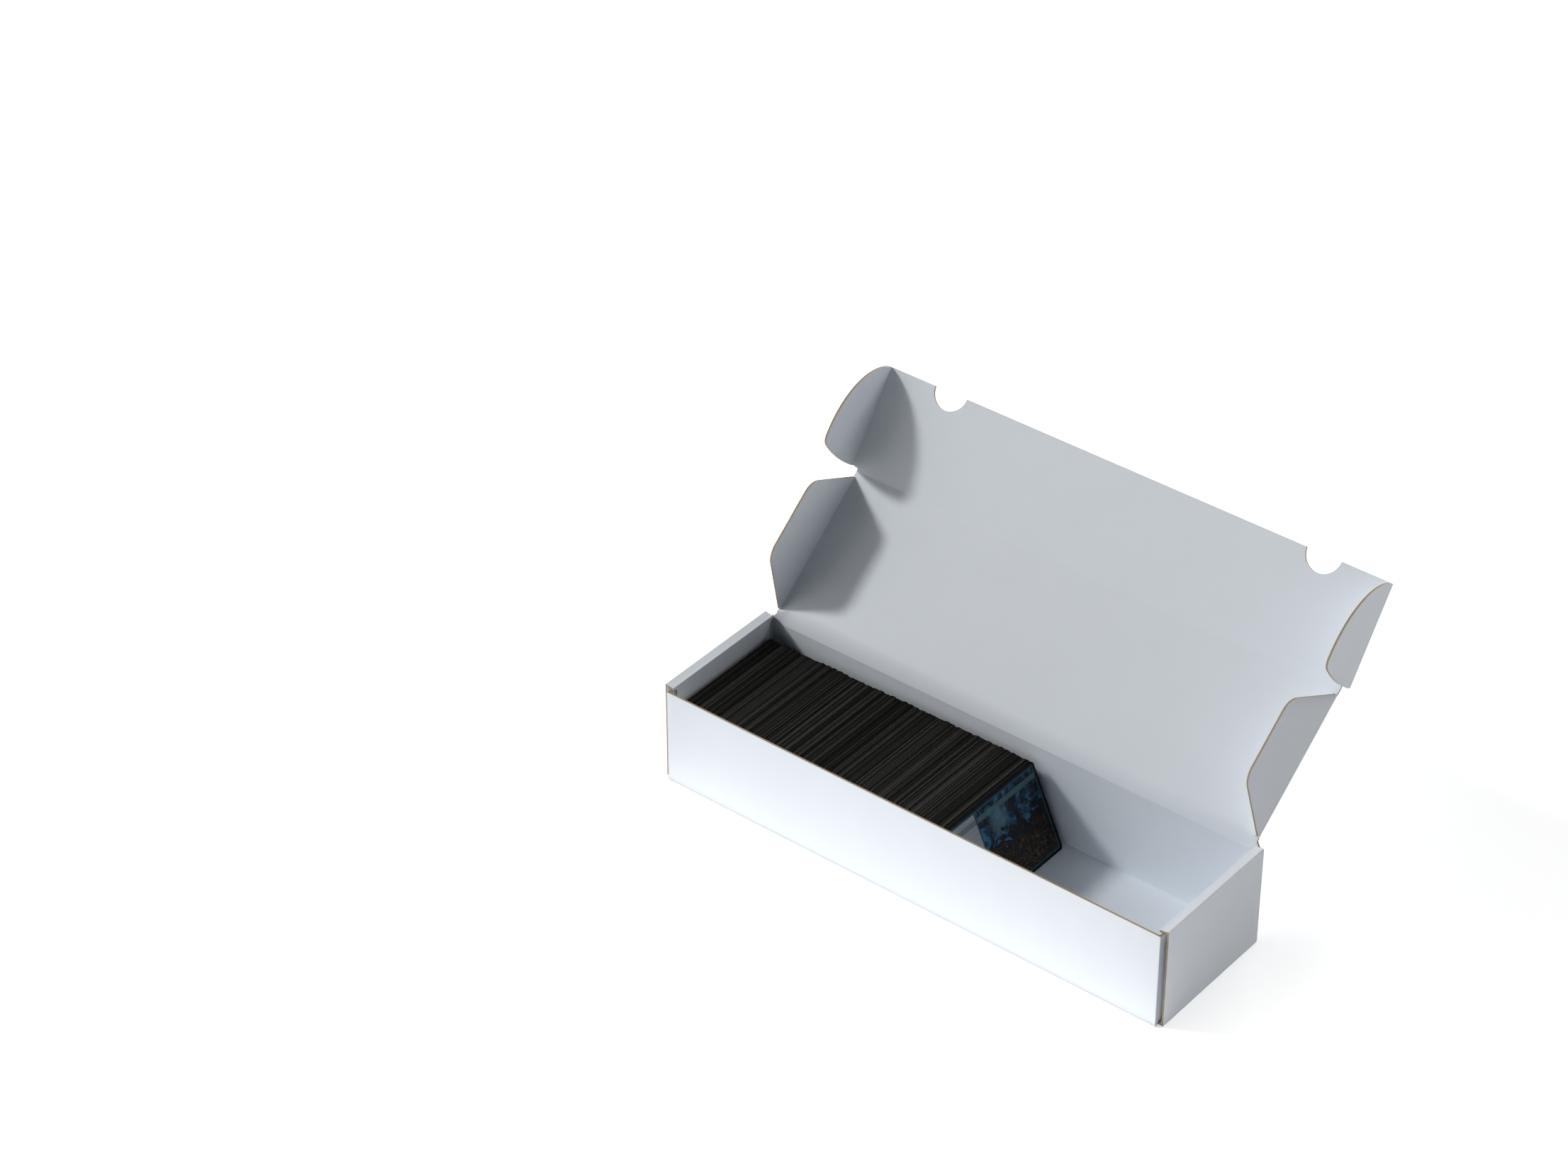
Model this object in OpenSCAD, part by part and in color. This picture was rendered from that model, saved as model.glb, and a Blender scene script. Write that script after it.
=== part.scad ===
// Folding cardboard box for a row of trading cards.
// It is a roll-end tray with the lid, its tuck panel and its ears folded from the same sheet of board.
// Lengths are millimetres and angles are degrees.
// X runs along the length, Y from front to back and Z up, from the middle of the underside.
// The box stands open: the lid leans back, and a row of cards leans in the tray.

/* [Box] */
// Outer length over the end walls
box_length = 389; // [324:0.5:467]
// Outer height, to the top of the end strips and of the closed lid
box_height = 73.9; // [61.6:0.1:88.7]
// Thickness of the corrugated board
board = 1.5; // [1.2:0.05:1.8]
// Height of the box's top above the front wall's cut edge
front_wall_drop = 3.5; // [2.8:0.1:4.2]
// Inside radius of the upright corners
corner_inner_radius = 1.8; // [1.5:0.05:2.2]
// Inside radius of the creases along the floor and along the end strips
crease_inner_radius = 0.5; // [0.4:0.05:0.6]
// Space left between the two corner flaps of one end
corner_flap_gap = 8.4; // [6:0.1:12]

/* [Room round the cards] */
// Space in front of the row of cards
room_front = 11.4; // [9:0.1:14]
// Space behind the row of cards
room_back = 4.6; // [3.8:0.1:5.6]

/* [Lid] */
// Angle of the open lid back from upright
lid_lean = 51.5; // [0:0.5:90]
// Angle that the left side flap is folded up from flat
left_flap_fold = 90; // [0:0.1:90]
// Angle that the right side flap is folded up from flat
right_flap_fold = 97.7; // [0:0.1:98]
// Height of a side flap above the lid
flap_height = 44; // [36.6:0.1:50]
// How much shorter a side flap's outer edge is at its front end
flap_front_inset = 22.7; // [18:0.1:27]
// How much shorter a side flap's outer edge is at its hinge end
flap_hinge_inset = 24.5; // [20:0.1:29]
// Radius of a side flap's outer corners
flap_corner_radius = 13; // [10:0.1:15]

/* [Tuck panel] */
// Angle of the open tuck panel forward from the lid's own plane
panel_fold = 15.4; // [0:0.1:90]
// Angle that both ears are folded up from flat
ear_fold = 90; // [0:0.1:90]
// How far an ear reaches from its crease
ear_reach = 44.9; // [37.4:0.1:53.9]
// Length of an ear's straight outer edge, between its upper corner and its long curve
ear_side = 6; // [5.4:0.1:7.2]
// Radius of an ear's upper edge, which swings clear of the end strip
ear_swing_radius = 105; // [88:1:126]
// Radius of an ear's upper corner
ear_corner_radius = 7; // [5.8:0.1:8.4]
// Radius of the two finger notches
notch_radius = 12.7; // [10.6:0.1:15.2]
// Distance between the centres of the finger notches
notch_spacing = 286.2; // [240:0.1:300]

/* [Cards] */
// Long side of a card, which lies across the box
card_width = 88; // [73.3:0.1:105.6]
// Short side of a card, which stands in the box
card_height = 63; // [52.5:0.1:63.5]
// Thickness of one card
card_thickness = 0.32; // [0.27:0.01:0.4]
// Corner radius of a card
card_corner_radius = 3; // [2.5:0.1:3.6]
// Angle of the cards back from upright
card_lean = 24.5; // [20:0.1:29]
// Length of the row of cards along the floor
row_length = 208.9; // [174:0.1:230]
// Number of packets that the row is made of
packets = 40; // [20:1:60]

/* [Clearances] */
// Clearance each side of an ear in its slot
ear_gap = 0.4; // [0.3:0.01:0.5]
// Clearance between the closed lid and an end strip
lid_side_gap = 0.5; // [0.4:0.01:0.6]
// Clearance between the closed tuck panel and the front wall
panel_front_gap = 0.4; // [0.3:0.01:0.5]
// Clearance between the closed tuck panel and what the box stands on
panel_floor_gap = 1.5; // [1.2:0.1:1.8]
// Clearance between a crease's round edge and the panel that turns round it
crease_gap = 0.2; // [0.15:0.01:0.25]

/* [Hidden] */

// Steps in an outline's rounded corner
corner_steps = 10;
// Steps in an ear's long curves
curve_steps = 24;
// Sides of a drawn circle
$fn = 48;

// Depth
inner_depth = card_width + room_front + room_back;
box_depth = inner_depth + 2 * board;
corner_outer_radius = corner_inner_radius + board;
crease_outer_radius = crease_inner_radius + board;
end_depth = box_depth - 2 * corner_outer_radius;

// The layers of an end, from outside in: outer wall, ear slot, corner flap and inner panel
ear_slot = board + 2 * ear_gap;
end_x = box_length / 2;
flap_layer_x = end_x - board - ear_slot;
inner_layer_x = flap_layer_x - board;
inside_x = inner_layer_x - board;
wall_x = flap_layer_x - corner_outer_radius;

// Heights
wall_top = box_height - front_wall_drop;
layer_top = box_height - crease_outer_radius;
corner_flap_floor_gap = 0.3;

// The inner panels' shoulders, tabs and slots
shoulder_inset = 3.4;
shoulder_drop = 0.9;
shoulder_radius = 1.2;
tab_width = 22;
tab_spacing = 48;
tab_stop = 0.3;
slot_gap = 0.2;

// The lid, measured from its hinge axis, which is where the board's middle turns
hinge_y = (box_depth - board) / 2;
hinge_z = box_height - board / 2;
turn_start = board / 2 + crease_gap;
lid_x = inside_x - lid_side_gap;
lid_reach = hinge_y + box_depth / 2 + panel_front_gap + board / 2;
flap_crease_x = lid_x - board / 2;
flap_hinge_gap = 1.4;
flap_panel_gap = 3.55;

// The tuck panel, measured from the lid's front crease
panel_reach = hinge_z - panel_floor_gap;
panel_x = end_x - board - ear_gap;
ear_crease_x = panel_x - board / 2;
ear_start = 2.4;
panel_shoulder = 1.6;
notch_offset = 0.5;

// The cards
card_seat_gap = 0.1;
card_floor = board + card_seat_gap;
card_slope = card_height * sin(card_lean);
card_rise = card_height * cos(card_lean);
card_back_y = inner_depth / 2 - room_back;
card_front_y = card_back_y - card_width;
tuck_gap = 0.4;
row_top_x = -(lid_x - board - tuck_gap);
row_start_x = row_top_x + card_slope;
face_width = card_thickness / cos(card_lean);
packet_gap = 0.1;
packet_pitch = (row_length - face_width - packet_gap) / packets;

// Colours
board_colour = "#e9edf1";
board_inside_colour = "#d5dade";
card_colour = "#1d1d20";
face_colour = "#20343a";

// One overrun serves all cuts
overrun = 1;

// The outline with each corner rounded by its own radius, as points
function unit_to(from, to) = (to - from) / norm(to - from);
function corner_arc(before, at, after, radius) =
    let (
        into = unit_to(at, before),
        out = unit_to(at, after),
        half = acos(into * out) / 2,
        middle = at + unit_to([0, 0], into + out) * radius / sin(half),
        start = at + into * radius / tan(half) - middle,
        turn = (into.x * out.y - into.y * out.x > 0 ? -1 : 1) * (180 - 2 * half)
    )
    radius == 0 ? [at] : [
        for (step = [0:corner_steps])
            let (angle = turn * step / corner_steps)
            middle + [
                start.x * cos(angle) - start.y * sin(angle),
                start.x * sin(angle) + start.y * cos(angle)
            ]
    ];
function rounded(points, radii) = [
    for (i = [0:len(points) - 1])
        each corner_arc(
            points[(i + len(points) - 1) % len(points)],
            points[i],
            points[(i + 1) % len(points)],
            radii[i]
        )
];

// A quarter of a tube, the bend of a folded board, with its axis along Z and its arc from +X to +Y
module quarter_bend(inner_radius, length) {
    linear_extrude(height = length)
        intersection() {
            difference() {
                circle(r = inner_radius + board);
                circle(r = inner_radius);
            }
            square(inner_radius + board);
        }
}

// The half-round edge of a creased board, centred on the crease, with its flat side at x = 0
module half_round(length) {
    linear_extrude(height = length)
        intersection() {
            circle(d = board);
            translate([0, -board / 2])
                square([board / 2, board]);
        }
}

// Turns a shape whose long axis is Z to lie along X, centred, with its +X towards +Y and its +Y towards +Z
module along_x(length) {
    translate([-length / 2, 0, 0])
        rotate([90, 0, 90])
            children();
}

// Turns a shape whose long axis is Z to lie along Y, centred, with its +Y towards +Z
module along_y(length) {
    translate([0, length / 2, 0])
        rotate([90, 0, 0])
            children();
}

module mirrored_x(swap) {
    mirror([swap ? 1 : 0, 0, 0])
        children();
}

module mirrored_y(swap) {
    mirror([0, swap ? 1 : 0, 0])
        children();
}

// The bottom: a flat panel with two slots at each end for the inner panels' tabs
module bottom_panel() {
    half_x = end_x - crease_outer_radius;
    half_y = box_depth / 2 - crease_outer_radius;
    color(board_colour)
        difference() {
            translate([-half_x, -half_y, 0])
                cube([2 * half_x, 2 * half_y, board]);
            for (side = [-1, 1], place = [-1, 1])
                translate([side * (inside_x + board / 2), place * tab_spacing / 2, board / 2])
                    cube([board + 2 * slot_gap, tab_width + 2 * slot_gap, board + 2 * overrun], center = true);
        }
}

// A long wall, drawn at the back: it bends up from the bottom and stands to the given height
module long_wall(top) {
    length = 2 * wall_x;
    bend_y = box_depth / 2 - crease_outer_radius;
    translate([0, bend_y, crease_outer_radius])
        along_x(length)
            mirror([0, 1, 0])
                quarter_bend(crease_inner_radius, length);
    translate([-wall_x, inner_depth / 2, crease_outer_radius])
        cube([length, board, top - crease_outer_radius]);
}

module front_wall() {
    color(board_colour)
        mirrored_y(true)
            long_wall(wall_top);
}

// The back wall stands up to the lid's hinge, where its edge is half round
module back_wall() {
    color(board_colour)
        union() {
            long_wall(wall_top);
            translate([-lid_x, inner_depth / 2, wall_top])
                cube([2 * lid_x, board, hinge_z - wall_top]);
            translate([0, hinge_y, hinge_z])
                along_x(2 * lid_x)
                    rotate([0, 0, 90])
                        half_round(2 * lid_x);
        }
}

// The outer wall of an end, drawn on the right
module end_wall() {
    color(board_colour)
        union() {
            translate([end_x - crease_outer_radius, 0, crease_outer_radius])
                along_y(end_depth)
                    mirror([0, 1, 0])
                        quarter_bend(crease_inner_radius, end_depth);
            translate([end_x - board, -end_depth / 2, crease_outer_radius])
                cube([board, end_depth, layer_top - crease_outer_radius]);
        }
}

// The strip on top of an end, which bends over from the outer wall and down into the inner panel
module end_strip() {
    outer_x = end_x - crease_outer_radius;
    inner_x = inside_x + crease_outer_radius;
    color(board_colour)
        union() {
            translate([outer_x, 0, layer_top])
                along_y(end_depth)
                    quarter_bend(crease_inner_radius, end_depth);
            translate([inner_x, 0, layer_top])
                along_y(end_depth)
                    mirror([1, 0, 0])
                        quarter_bend(crease_inner_radius, end_depth);
            translate([inner_x, -end_depth / 2, box_height - board])
                cube([outer_x - inner_x, end_depth, board]);
        }
}

// The inner panel of an end, with shoulders below the strip and two tabs in the bottom's slots
module inner_panel() {
    top_y = end_depth / 2;
    side_y = top_y - shoulder_inset;
    shoulder_z = layer_top - shoulder_drop;
    color(board_inside_colour)
        translate([inside_x, 0, 0])
            rotate([90, 0, 90])
                linear_extrude(height = board)
                    union() {
                        polygon(rounded(
                            [
                                [-top_y, layer_top], [-side_y, shoulder_z], [-side_y, board],
                                [side_y, board], [side_y, shoulder_z], [top_y, layer_top]
                            ],
                            [0, shoulder_radius, 0, 0, shoulder_radius, 0]
                        ));
                        for (place = [-1, 1])
                            translate([place * tab_spacing / 2 - tab_width / 2, tab_stop])
                                square([tab_width, board - tab_stop + slot_gap]);
                    }
}

// A corner flap, drawn at the back right: it bends round the upright corner and lies in the end's layers
module corner_flap() {
    bend_y = box_depth / 2 - corner_outer_radius;
    free_y = corner_flap_gap / 2;
    low_z = board + corner_flap_floor_gap;
    color(board_inside_colour)
        union() {
            translate([wall_x, bend_y, crease_outer_radius])
                quarter_bend(corner_inner_radius, wall_top - crease_outer_radius);
            translate([inner_layer_x, free_y, low_z])
                cube([board, bend_y - free_y, wall_top - low_z]);
        }
}

// Places a shape drawn flat on the lid: Y runs from the hinge to the front crease, Z is the lid's inside
module on_lid() {
    translate([0, hinge_y, hinge_z])
        rotate([90 - lid_lean, 0, 0])
            children();
}

// Places a shape drawn flat on the tuck panel: Y runs from the crease to the free edge, Z is its inside
module on_tuck_panel() {
    on_lid()
        translate([0, lid_reach, 0])
            rotate([panel_fold, 0, 0])
                children();
}

// Folds a piece up from flat at the right-hand crease of the panel that carries it
module on_side_crease(crease_x, fold) {
    translate([crease_x, 0, 0])
        rotate([0, -fold, 0])
            linear_extrude(height = board, center = true)
                children();
}

// The lid, with half-round edges at its front crease and along both side flaps
module lid_panel() {
    flap_end = lid_reach - flap_panel_gap;
    color(board_inside_colour)
        on_lid()
            union() {
                translate([-flap_crease_x, turn_start, -board / 2])
                    cube([2 * flap_crease_x, lid_reach - turn_start, board]);
                for (side = [0, 1])
                    mirrored_x(side == 1) {
                        translate([flap_crease_x, turn_start, -board / 2])
                            cube([board / 2, flap_hinge_gap - turn_start, board]);
                        translate([flap_crease_x, flap_end, -board / 2])
                            cube([board / 2, flap_panel_gap, board]);
                        translate([flap_crease_x, flap_end, 0])
                            rotate([90, 0, 0])
                                half_round(flap_end - flap_hinge_gap);
                    }
                translate([0, lid_reach, 0])
                    along_x(2 * lid_x)
                        half_round(2 * lid_x);
            }
}

// A side flap of the lid, drawn on the right
module side_flap(fold) {
    flap_end = lid_reach - flap_panel_gap;
    outer = board / 2 + flap_height;
    color(board_inside_colour)
        on_lid()
            on_side_crease(flap_crease_x, fold)
                polygon(rounded(
                    [
                        [turn_start, flap_hinge_gap + flap_hinge_inset * turn_start / outer],
                        [outer, flap_hinge_gap + flap_hinge_inset],
                        [outer, flap_end - flap_front_inset],
                        [turn_start, flap_end - flap_front_inset * turn_start / outer]
                    ],
                    [0, flap_corner_radius, flap_corner_radius, 0]
                ));
}

// The tuck panel in front, with two finger notches in its free edge and half-round edges at its ears
module tuck_panel() {
    color(board_inside_colour)
        on_tuck_panel()
            union() {
                difference() {
                    translate([0, 0, -board / 2])
                        linear_extrude(height = board)
                            polygon([
                                [-lid_x, turn_start], [-lid_x, panel_shoulder], [-ear_crease_x, ear_start],
                                [-ear_crease_x, panel_reach], [ear_crease_x, panel_reach],
                                [ear_crease_x, ear_start], [lid_x, panel_shoulder], [lid_x, turn_start]
                            ]);
                    for (side = [-1, 1])
                        translate([side * notch_spacing / 2, panel_reach + notch_offset, -board / 2 - overrun])
                            cylinder(r = notch_radius, h = board + 2 * overrun);
                }
                for (side = [0, 1])
                    mirrored_x(side == 1)
                        translate([ear_crease_x, panel_reach, 0])
                            rotate([90, 0, 0])
                                half_round(panel_reach - ear_start);
            }
}

// An ear of the tuck panel, drawn on the right: its upper edge follows the lid's swing
module ear() {
    swing = [
        for (step = [0:curve_steps / 2])
            let (reach = turn_start + (ear_reach - ear_corner_radius - turn_start) * step / (curve_steps / 2))
            [reach, ear_start + ear_swing_radius - sqrt(ear_swing_radius ^ 2 - reach ^ 2)]
    ];
    top = ear_start + ear_swing_radius - sqrt(ear_swing_radius ^ 2 - ear_reach ^ 2);
    shoulder = top + ear_side;
    sweep = [
        for (step = [0:curve_steps])
            let (angle = 90 * step / curve_steps)
            [ear_reach * cos(angle), shoulder + (panel_reach - shoulder) * sin(angle)]
    ];
    corner = corner_arc(swing[len(swing) - 1], [ear_reach, top], sweep[0], ear_corner_radius);
    inside_sweep = [for (point = sweep) if (point.x > turn_start) point];
    color(board_inside_colour)
        on_tuck_panel()
            on_side_crease(ear_crease_x, ear_fold)
                polygon(concat(
                    [for (point = swing) if (point.x < corner[0].x) point],
                    corner,
                    inside_sweep,
                    [[turn_start, panel_reach]]
                ));
}

// The envelope of the row: a card's front view, with its leaning height and rounded corners, along X
module row_envelope(start_x, length) {
    translate([start_x, card_front_y, card_floor])
        rotate([90, 0, 90])
            linear_extrude(height = length)
                union() {
                    translate([card_corner_radius, 0])
                        square([card_width - 2 * card_corner_radius, card_rise]);
                    translate([0, card_corner_radius])
                        square([card_width, card_rise - 2 * card_corner_radius]);
                    for (y = [0, 1], z = [0, 1])
                        translate([
                            card_corner_radius + y * (card_width - 2 * card_corner_radius),
                            card_corner_radius + z * (card_rise - 2 * card_corner_radius)
                        ])
                            circle(r = card_corner_radius);
                }
}

// The row of cards, in packets that lean together, each a slanted block as long as a card is wide
module card_row() {
    packet_width = packet_pitch - packet_gap;
    color(card_colour)
        intersection() {
            translate([0, card_back_y + overrun, card_floor])
                rotate([90, 0, 0])
                    linear_extrude(height = card_width + 2 * overrun)
                        for (i = [0:packets - 1])
                            let (x = row_start_x + i * packet_pitch)
                            polygon([
                                [x, 0], [x + packet_width, 0],
                                [x + packet_width - card_slope, card_rise], [x - card_slope, card_rise]
                            ]);
            row_envelope(row_top_x - overrun, row_length + card_slope + 2 * overrun);
        }
}

// The card at the front of the row, whose face is seen
module face_card() {
    x = row_start_x + row_length - face_width;
    color(face_colour)
        intersection() {
            translate([0, card_back_y + overrun, card_floor])
                rotate([90, 0, 0])
                    linear_extrude(height = card_width + 2 * overrun)
                        polygon([
                            [x, 0], [x + face_width, 0],
                            [x + face_width - card_slope, card_rise], [x - card_slope, card_rise]
                        ]);
            row_envelope(row_top_x - overrun, row_length + card_slope + 2 * overrun);
        }
}

bottom_panel();
front_wall();
back_wall();
mirrored_x(true) end_wall();  // left_end_wall
end_wall();  // right_end_wall
mirrored_x(true) end_strip();  // left_end_strip
end_strip();  // right_end_strip
mirrored_x(true) inner_panel();  // left_inner_panel
inner_panel();  // right_inner_panel
mirrored_x(true) mirrored_y(true) corner_flap();  // front_left_corner_flap
mirrored_y(true) corner_flap();  // front_right_corner_flap
mirrored_x(true) corner_flap();  // back_left_corner_flap
corner_flap();  // back_right_corner_flap
lid_panel();
mirrored_x(true) side_flap(left_flap_fold);  // left_side_flap
side_flap(right_flap_fold);  // right_side_flap
tuck_panel();
mirrored_x(true) ear();  // left_ear
ear();  // right_ear
card_row();
face_card();
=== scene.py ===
"""Looks of a folding cardboard box and its row of trading cards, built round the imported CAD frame."""

import math

import bmesh
import bpy
from mathutils import Matrix, Vector


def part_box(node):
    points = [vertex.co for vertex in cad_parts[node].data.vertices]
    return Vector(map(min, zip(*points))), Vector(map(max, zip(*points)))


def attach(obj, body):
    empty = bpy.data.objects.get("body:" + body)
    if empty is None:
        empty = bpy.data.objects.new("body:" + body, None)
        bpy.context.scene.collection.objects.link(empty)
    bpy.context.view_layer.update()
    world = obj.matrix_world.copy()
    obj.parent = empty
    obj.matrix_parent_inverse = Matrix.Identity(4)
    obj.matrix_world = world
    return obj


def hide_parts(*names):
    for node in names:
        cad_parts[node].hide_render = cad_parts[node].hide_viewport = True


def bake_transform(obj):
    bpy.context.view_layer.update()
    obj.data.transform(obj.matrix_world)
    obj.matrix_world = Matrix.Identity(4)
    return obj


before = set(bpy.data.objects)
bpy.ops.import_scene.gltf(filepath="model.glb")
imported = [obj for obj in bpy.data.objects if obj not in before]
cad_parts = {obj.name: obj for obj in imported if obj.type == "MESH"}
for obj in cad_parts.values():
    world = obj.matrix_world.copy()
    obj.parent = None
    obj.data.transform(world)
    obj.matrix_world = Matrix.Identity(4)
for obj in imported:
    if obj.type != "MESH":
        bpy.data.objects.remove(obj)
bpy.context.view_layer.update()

bl_info = {
    "name": "Folding card box",
    "version": (1, 0, 0),
    "blender": (4, 5, 0),
    "location": "View3D > Sidebar > Card Box",
    "description": "Builds a folding cardboard box with a row of trading cards",
    "category": "Object",
}

# Sizes are in millimetres until a mesh is finished
MM = 0.001
panel_low, panel_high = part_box("bottom_panel")
BOARD = (panel_high.z - panel_low.z) / MM
HALF = BOARD / 2

# Tray: plan and heights, folds and how far past them the board is flat, and the slots for the tabs
END_X = 194.5
INSIDE_X = 187.7
FLAP_LAYER_X = 190.7
WALL_X = 187.4
WALL_Y = 53.5
END_Y = 50.2
FLAP_FREE_Y = 4.2
WALL_TOP = 70.4
LAYER_TOP = 71.9
CREASE_RADIUS = 0.5
CORNER_RADIUS = 1.8
FOLD_RADIUS = 0.4
CORNER_FOOT = 0.4
STRIP_FALL = 0.2
STRIP_CORNER = 1.1
SUPPORT = 0.3
FOLD_Z = 2.0
WALL_FOOT = FOLD_Z + SUPPORT
SLOT_Y = (-35.2, -12.8, 12.8, 35.2)
SLOT_X = (187.5, 189.4)

# Inner panel of an end: its tabs, its foot above the floor, and its rounded shoulders
TABS = ((-35, -13), (13, 35))
TAB_FOOT = 0.3
TAB_ROUND = 0.3
PANEL_FOOT = BOARD + 0.05
SHOULDER_IN = 3.4
SHOULDER_DOWN = 0.9
SHOULDER_ROUND = 1.2

# Lid and its side flaps
HINGE = Vector((0, 52.75, 73.15))
LID_LEAN = math.radians(51.5)
LID_X = 187.2
LID_REACH = 107.4
FLAP_CREASE_X = 186.45
FLAP_LOW = 3.6
FLAP_HIGH = 102.9
FLAP_SLIT = 0.3
FLAP_REACH = 44.75
FLAP_SHOULDERS = (25.9, 81.15)
FLAP_END = 102.84
FLAP_ROUND = 13
LEFT_FLAP_FOLD = math.radians(90)
RIGHT_FLAP_FOLD = math.radians(97.7)

# Lid hinge: how far along the lid its bend ends at the corners and how much further between them, how far
# it stands out at the corners, where it narrows, rises and widens, its points and the steps of its bend
LID_START = 3.0
HINGE_SPREAD = 5.0
HINGE_WIDENING = 2.3
NARROWS_X = (175, 184.2)
RISES_X = (179, LID_X)
WIDENS_X = (184.8, LID_X)
HINGE_COLUMNS = (175, 176.5, 178, 179, 180.5, 182, 183.5, 184.2, 184.8, 185.8, 186.6)
HINGE_STEPS = 20

# Tuck panel, its ears and its finger notches
PANEL_FOLD = math.radians(15.4)
PANEL_REACH = 71.62
EAR_CREASE_X = 191.85
EAR_FOLD = math.radians(90)
EAR_LOW = 2.7
EAR_REACH = 44.9
EAR_SWING = 105
EAR_SIDE = 6
EAR_START = 2.4
EAR_CORNER = 7
EAR_HIGH = PANEL_REACH - 0.05
NOTCH_X = 143.1
NOTCH_RADIUS = 12.7
NOTCH_OFFSET = 0.5

# How far a crease piece reaches on each side of its crease, how much of that turns, and its columns
CREASE_REACH = 2.0
CREASE_TURN = 0.78
CREASE_COLUMNS = 8

# Steps of round corners, and numbers of points in a notch and in an ear's lower and upper side
ARC_STEPS = 14
INNER_ARC_STEPS = 6
CARD_ARC_STEPS = 10
EAR_ARC_STEPS = 12
NOTCH_POINTS = 29
EAR_LOWER_POINTS = 18
EAR_UPPER_POINTS = 41

# Meshes: distances that count as touching, as one point and as nothing, and the angle of a sharp edge
TOUCH = 0.01
WELD = 1e-4
NOTHING = 1e-5
SHARP_ANGLE = math.radians(30)

# Cards: place and length of the row, room left in it, and rim and lift of the last card
CARD_FRONT_Y = -40.6
CARD_FLOOR = 1.6
ROW_START_X = -159.17
ROW_LENGTH = 208.9
ROW_SPARE = 0.1
CARD_RIM = 0.03
FACE_LIFT = 0.15

# How cards stray from an even row, in metres and radians
ROW_SHIFT = -0.0038
SHIFT_PER_CARD = 0.0000046
SIDE_SCATTER = 0.00015
RISE_SCATTER = (0.00002, 0.00010)
ROLL_SCATTER = 0.0010
LOW_EVERY = 3
LOW_DROP = 0.00032
BUMP_DEPTH = 0.0017
BUMP_RISE = 0.00008

# Waves along the row: pace per card and start, and for the tones how sharply they brighten
BUMP_WAVE = (0.075, 3.3)
BUMP_GAIN = 2.6
TONE_WAVES = ((0.115, 14.2, 9.0), (0.047, 31.7, 7.0))

# Tones of the cards: curve, gain and start of their random part, which is partly the cards' own colour and
# partly painted highlight where an edge catches the light, the least that is left in a wave, the least that
# painted shade leaves on a low card and between bumps, and their small scatter
TONE_CURVE = 1.4
TONE_GAIN = 1.25
TONE_START = 0.12
WAVE_LEAST = 0.35
LOW_CARD_SHADE = 0.06
BETWEEN_BUMPS_SHADE = 0.3
TONE_SCATTER = (0.85, 1.1)

# Cut edge of the board: pitch of its flutes in metres, and as shares of the thickness their swing, and
# where the paper of a flute ends and that of a face starts, from the middle of each
FLUTE_PITCH = 0.0032
FLUTE_SWING = 0.26
FLUTE_EDGE = (0.05, 0.16)
LINER_EDGE = (0.37, 0.42)

# Papers: scale of clouds, scale of fibres and strength of both
LINER_PAPER = (30.0, 2200.0, 0.035)
CORE_PAPER = (260.0, 2600.0, 0.30)
EDGE_PAPER = (60.0, 500.0, 0.15)
FACE_PAPER = (0.4, 6.0, 0.10)
FLOOR_PAPER = (6.0, 300.0, 0.004)

# Bumps of the papers: depth and strength
LINER_BUMP = (0.00002, 0.5)
CORE_BUMP = (0.00006, 0.6)
EDGE_BUMP = (0.00003, 0.5)
FACE_BUMP = (0.00002, 0.4)

# Roughness of the papers: how much the fibres add, and the least
LINER_ROUGHNESS = (0.12, 0.44)
FACE_ROUGHNESS = (0.10, 0.27)

# Printed face, in millimetres: places, and where its lines and shapes start and end
BAR_X = 25.0
LEDGE_Y = 54.5
GLOW_PLACE = (44.0, 46.0, 0.0)
GLOW_EDGE = (12.0, 3.0)
BORDER_EDGE = (2.0, 1.8)
FRAME_EDGE = (3.2, 3.0)
DIVIDE_EDGE = (0.9, 0.5)
LEDGE_EDGE = (1.9, 1.6)
RIDGE_SWING = 46.0
RIDGE_EDGE = (36.0, 34.0)
GROUND_EDGE = (32.0, 20.0)

# Noise of the picture: scale, detail and distortion, and the values between which its parts appear
CLOUDS = (0.07, 5.0, 2.2)
STREAKS = (0.22, 4.0, 3.0)
SKY_EDGE = (0.40, 0.58)
CLOUD_EDGE = (0.52, 0.68)
STREAK_EDGE = (0.58, 0.70)
STONE_EDGE = (0.44, 0.66)

# Stripes of the bar: their pace, and the values of their wave between which they appear
STRIPE_PACE = 1.9
STRIPE_EDGE = (0.82, 1.0)

# Colours of the printed face
CLOUD_LIGHT = (0.042, 0.170, 0.300)
STREAK_LIGHT = (0.150, 0.300, 0.400)
GLOW_LIGHT = (0.170, 0.300, 0.380)
RIDGE_DARK = (0.004, 0.005, 0.008)
GROUND_WARM = (0.090, 0.056, 0.026)
BAR_PLAIN = (0.34, 0.35, 0.37)
BAR_STRIPE = (0.06, 0.08, 0.10)
LEDGE_LIGHT = (0.100, 0.170, 0.190)
FRAME_BLUE = (0.020, 0.085, 0.130)
BORDER_DARK = (0.003, 0.003, 0.004)

# Floor: half its width, and how far it lies below the box so that the two don't touch
FLOOR_SIZE = 12
FLOOR_DROP = 0.0001

# How far from the tray the floor's shadow has faded under painted light, and how much the floor's glow has
# risen there
SHADOW_FADE = 0.05
SHADOW_RISE = 0.15

# Image size and camera of the photograph
IMAGE_WIDTH = 2212
FOCAL_PIXELS = 6210.07
SENSOR_WIDTH = 36.0
CAMERA_PLACE = (1.2628, -1.7366, 1.7654)
CAMERA_AZIMUTH = math.radians(38.892)
CAMERA_ELEVATION = math.radians(35.976)
CAMERA_ROLL = math.radians(-0.065)
CLIP_RANGE = (0.05, 50)


def setting(kind, name, description, default, **options):
    """A setting of one kind, with its name, its description and its default."""
    return kind(name=name, description=description, default=default, **options)


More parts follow.
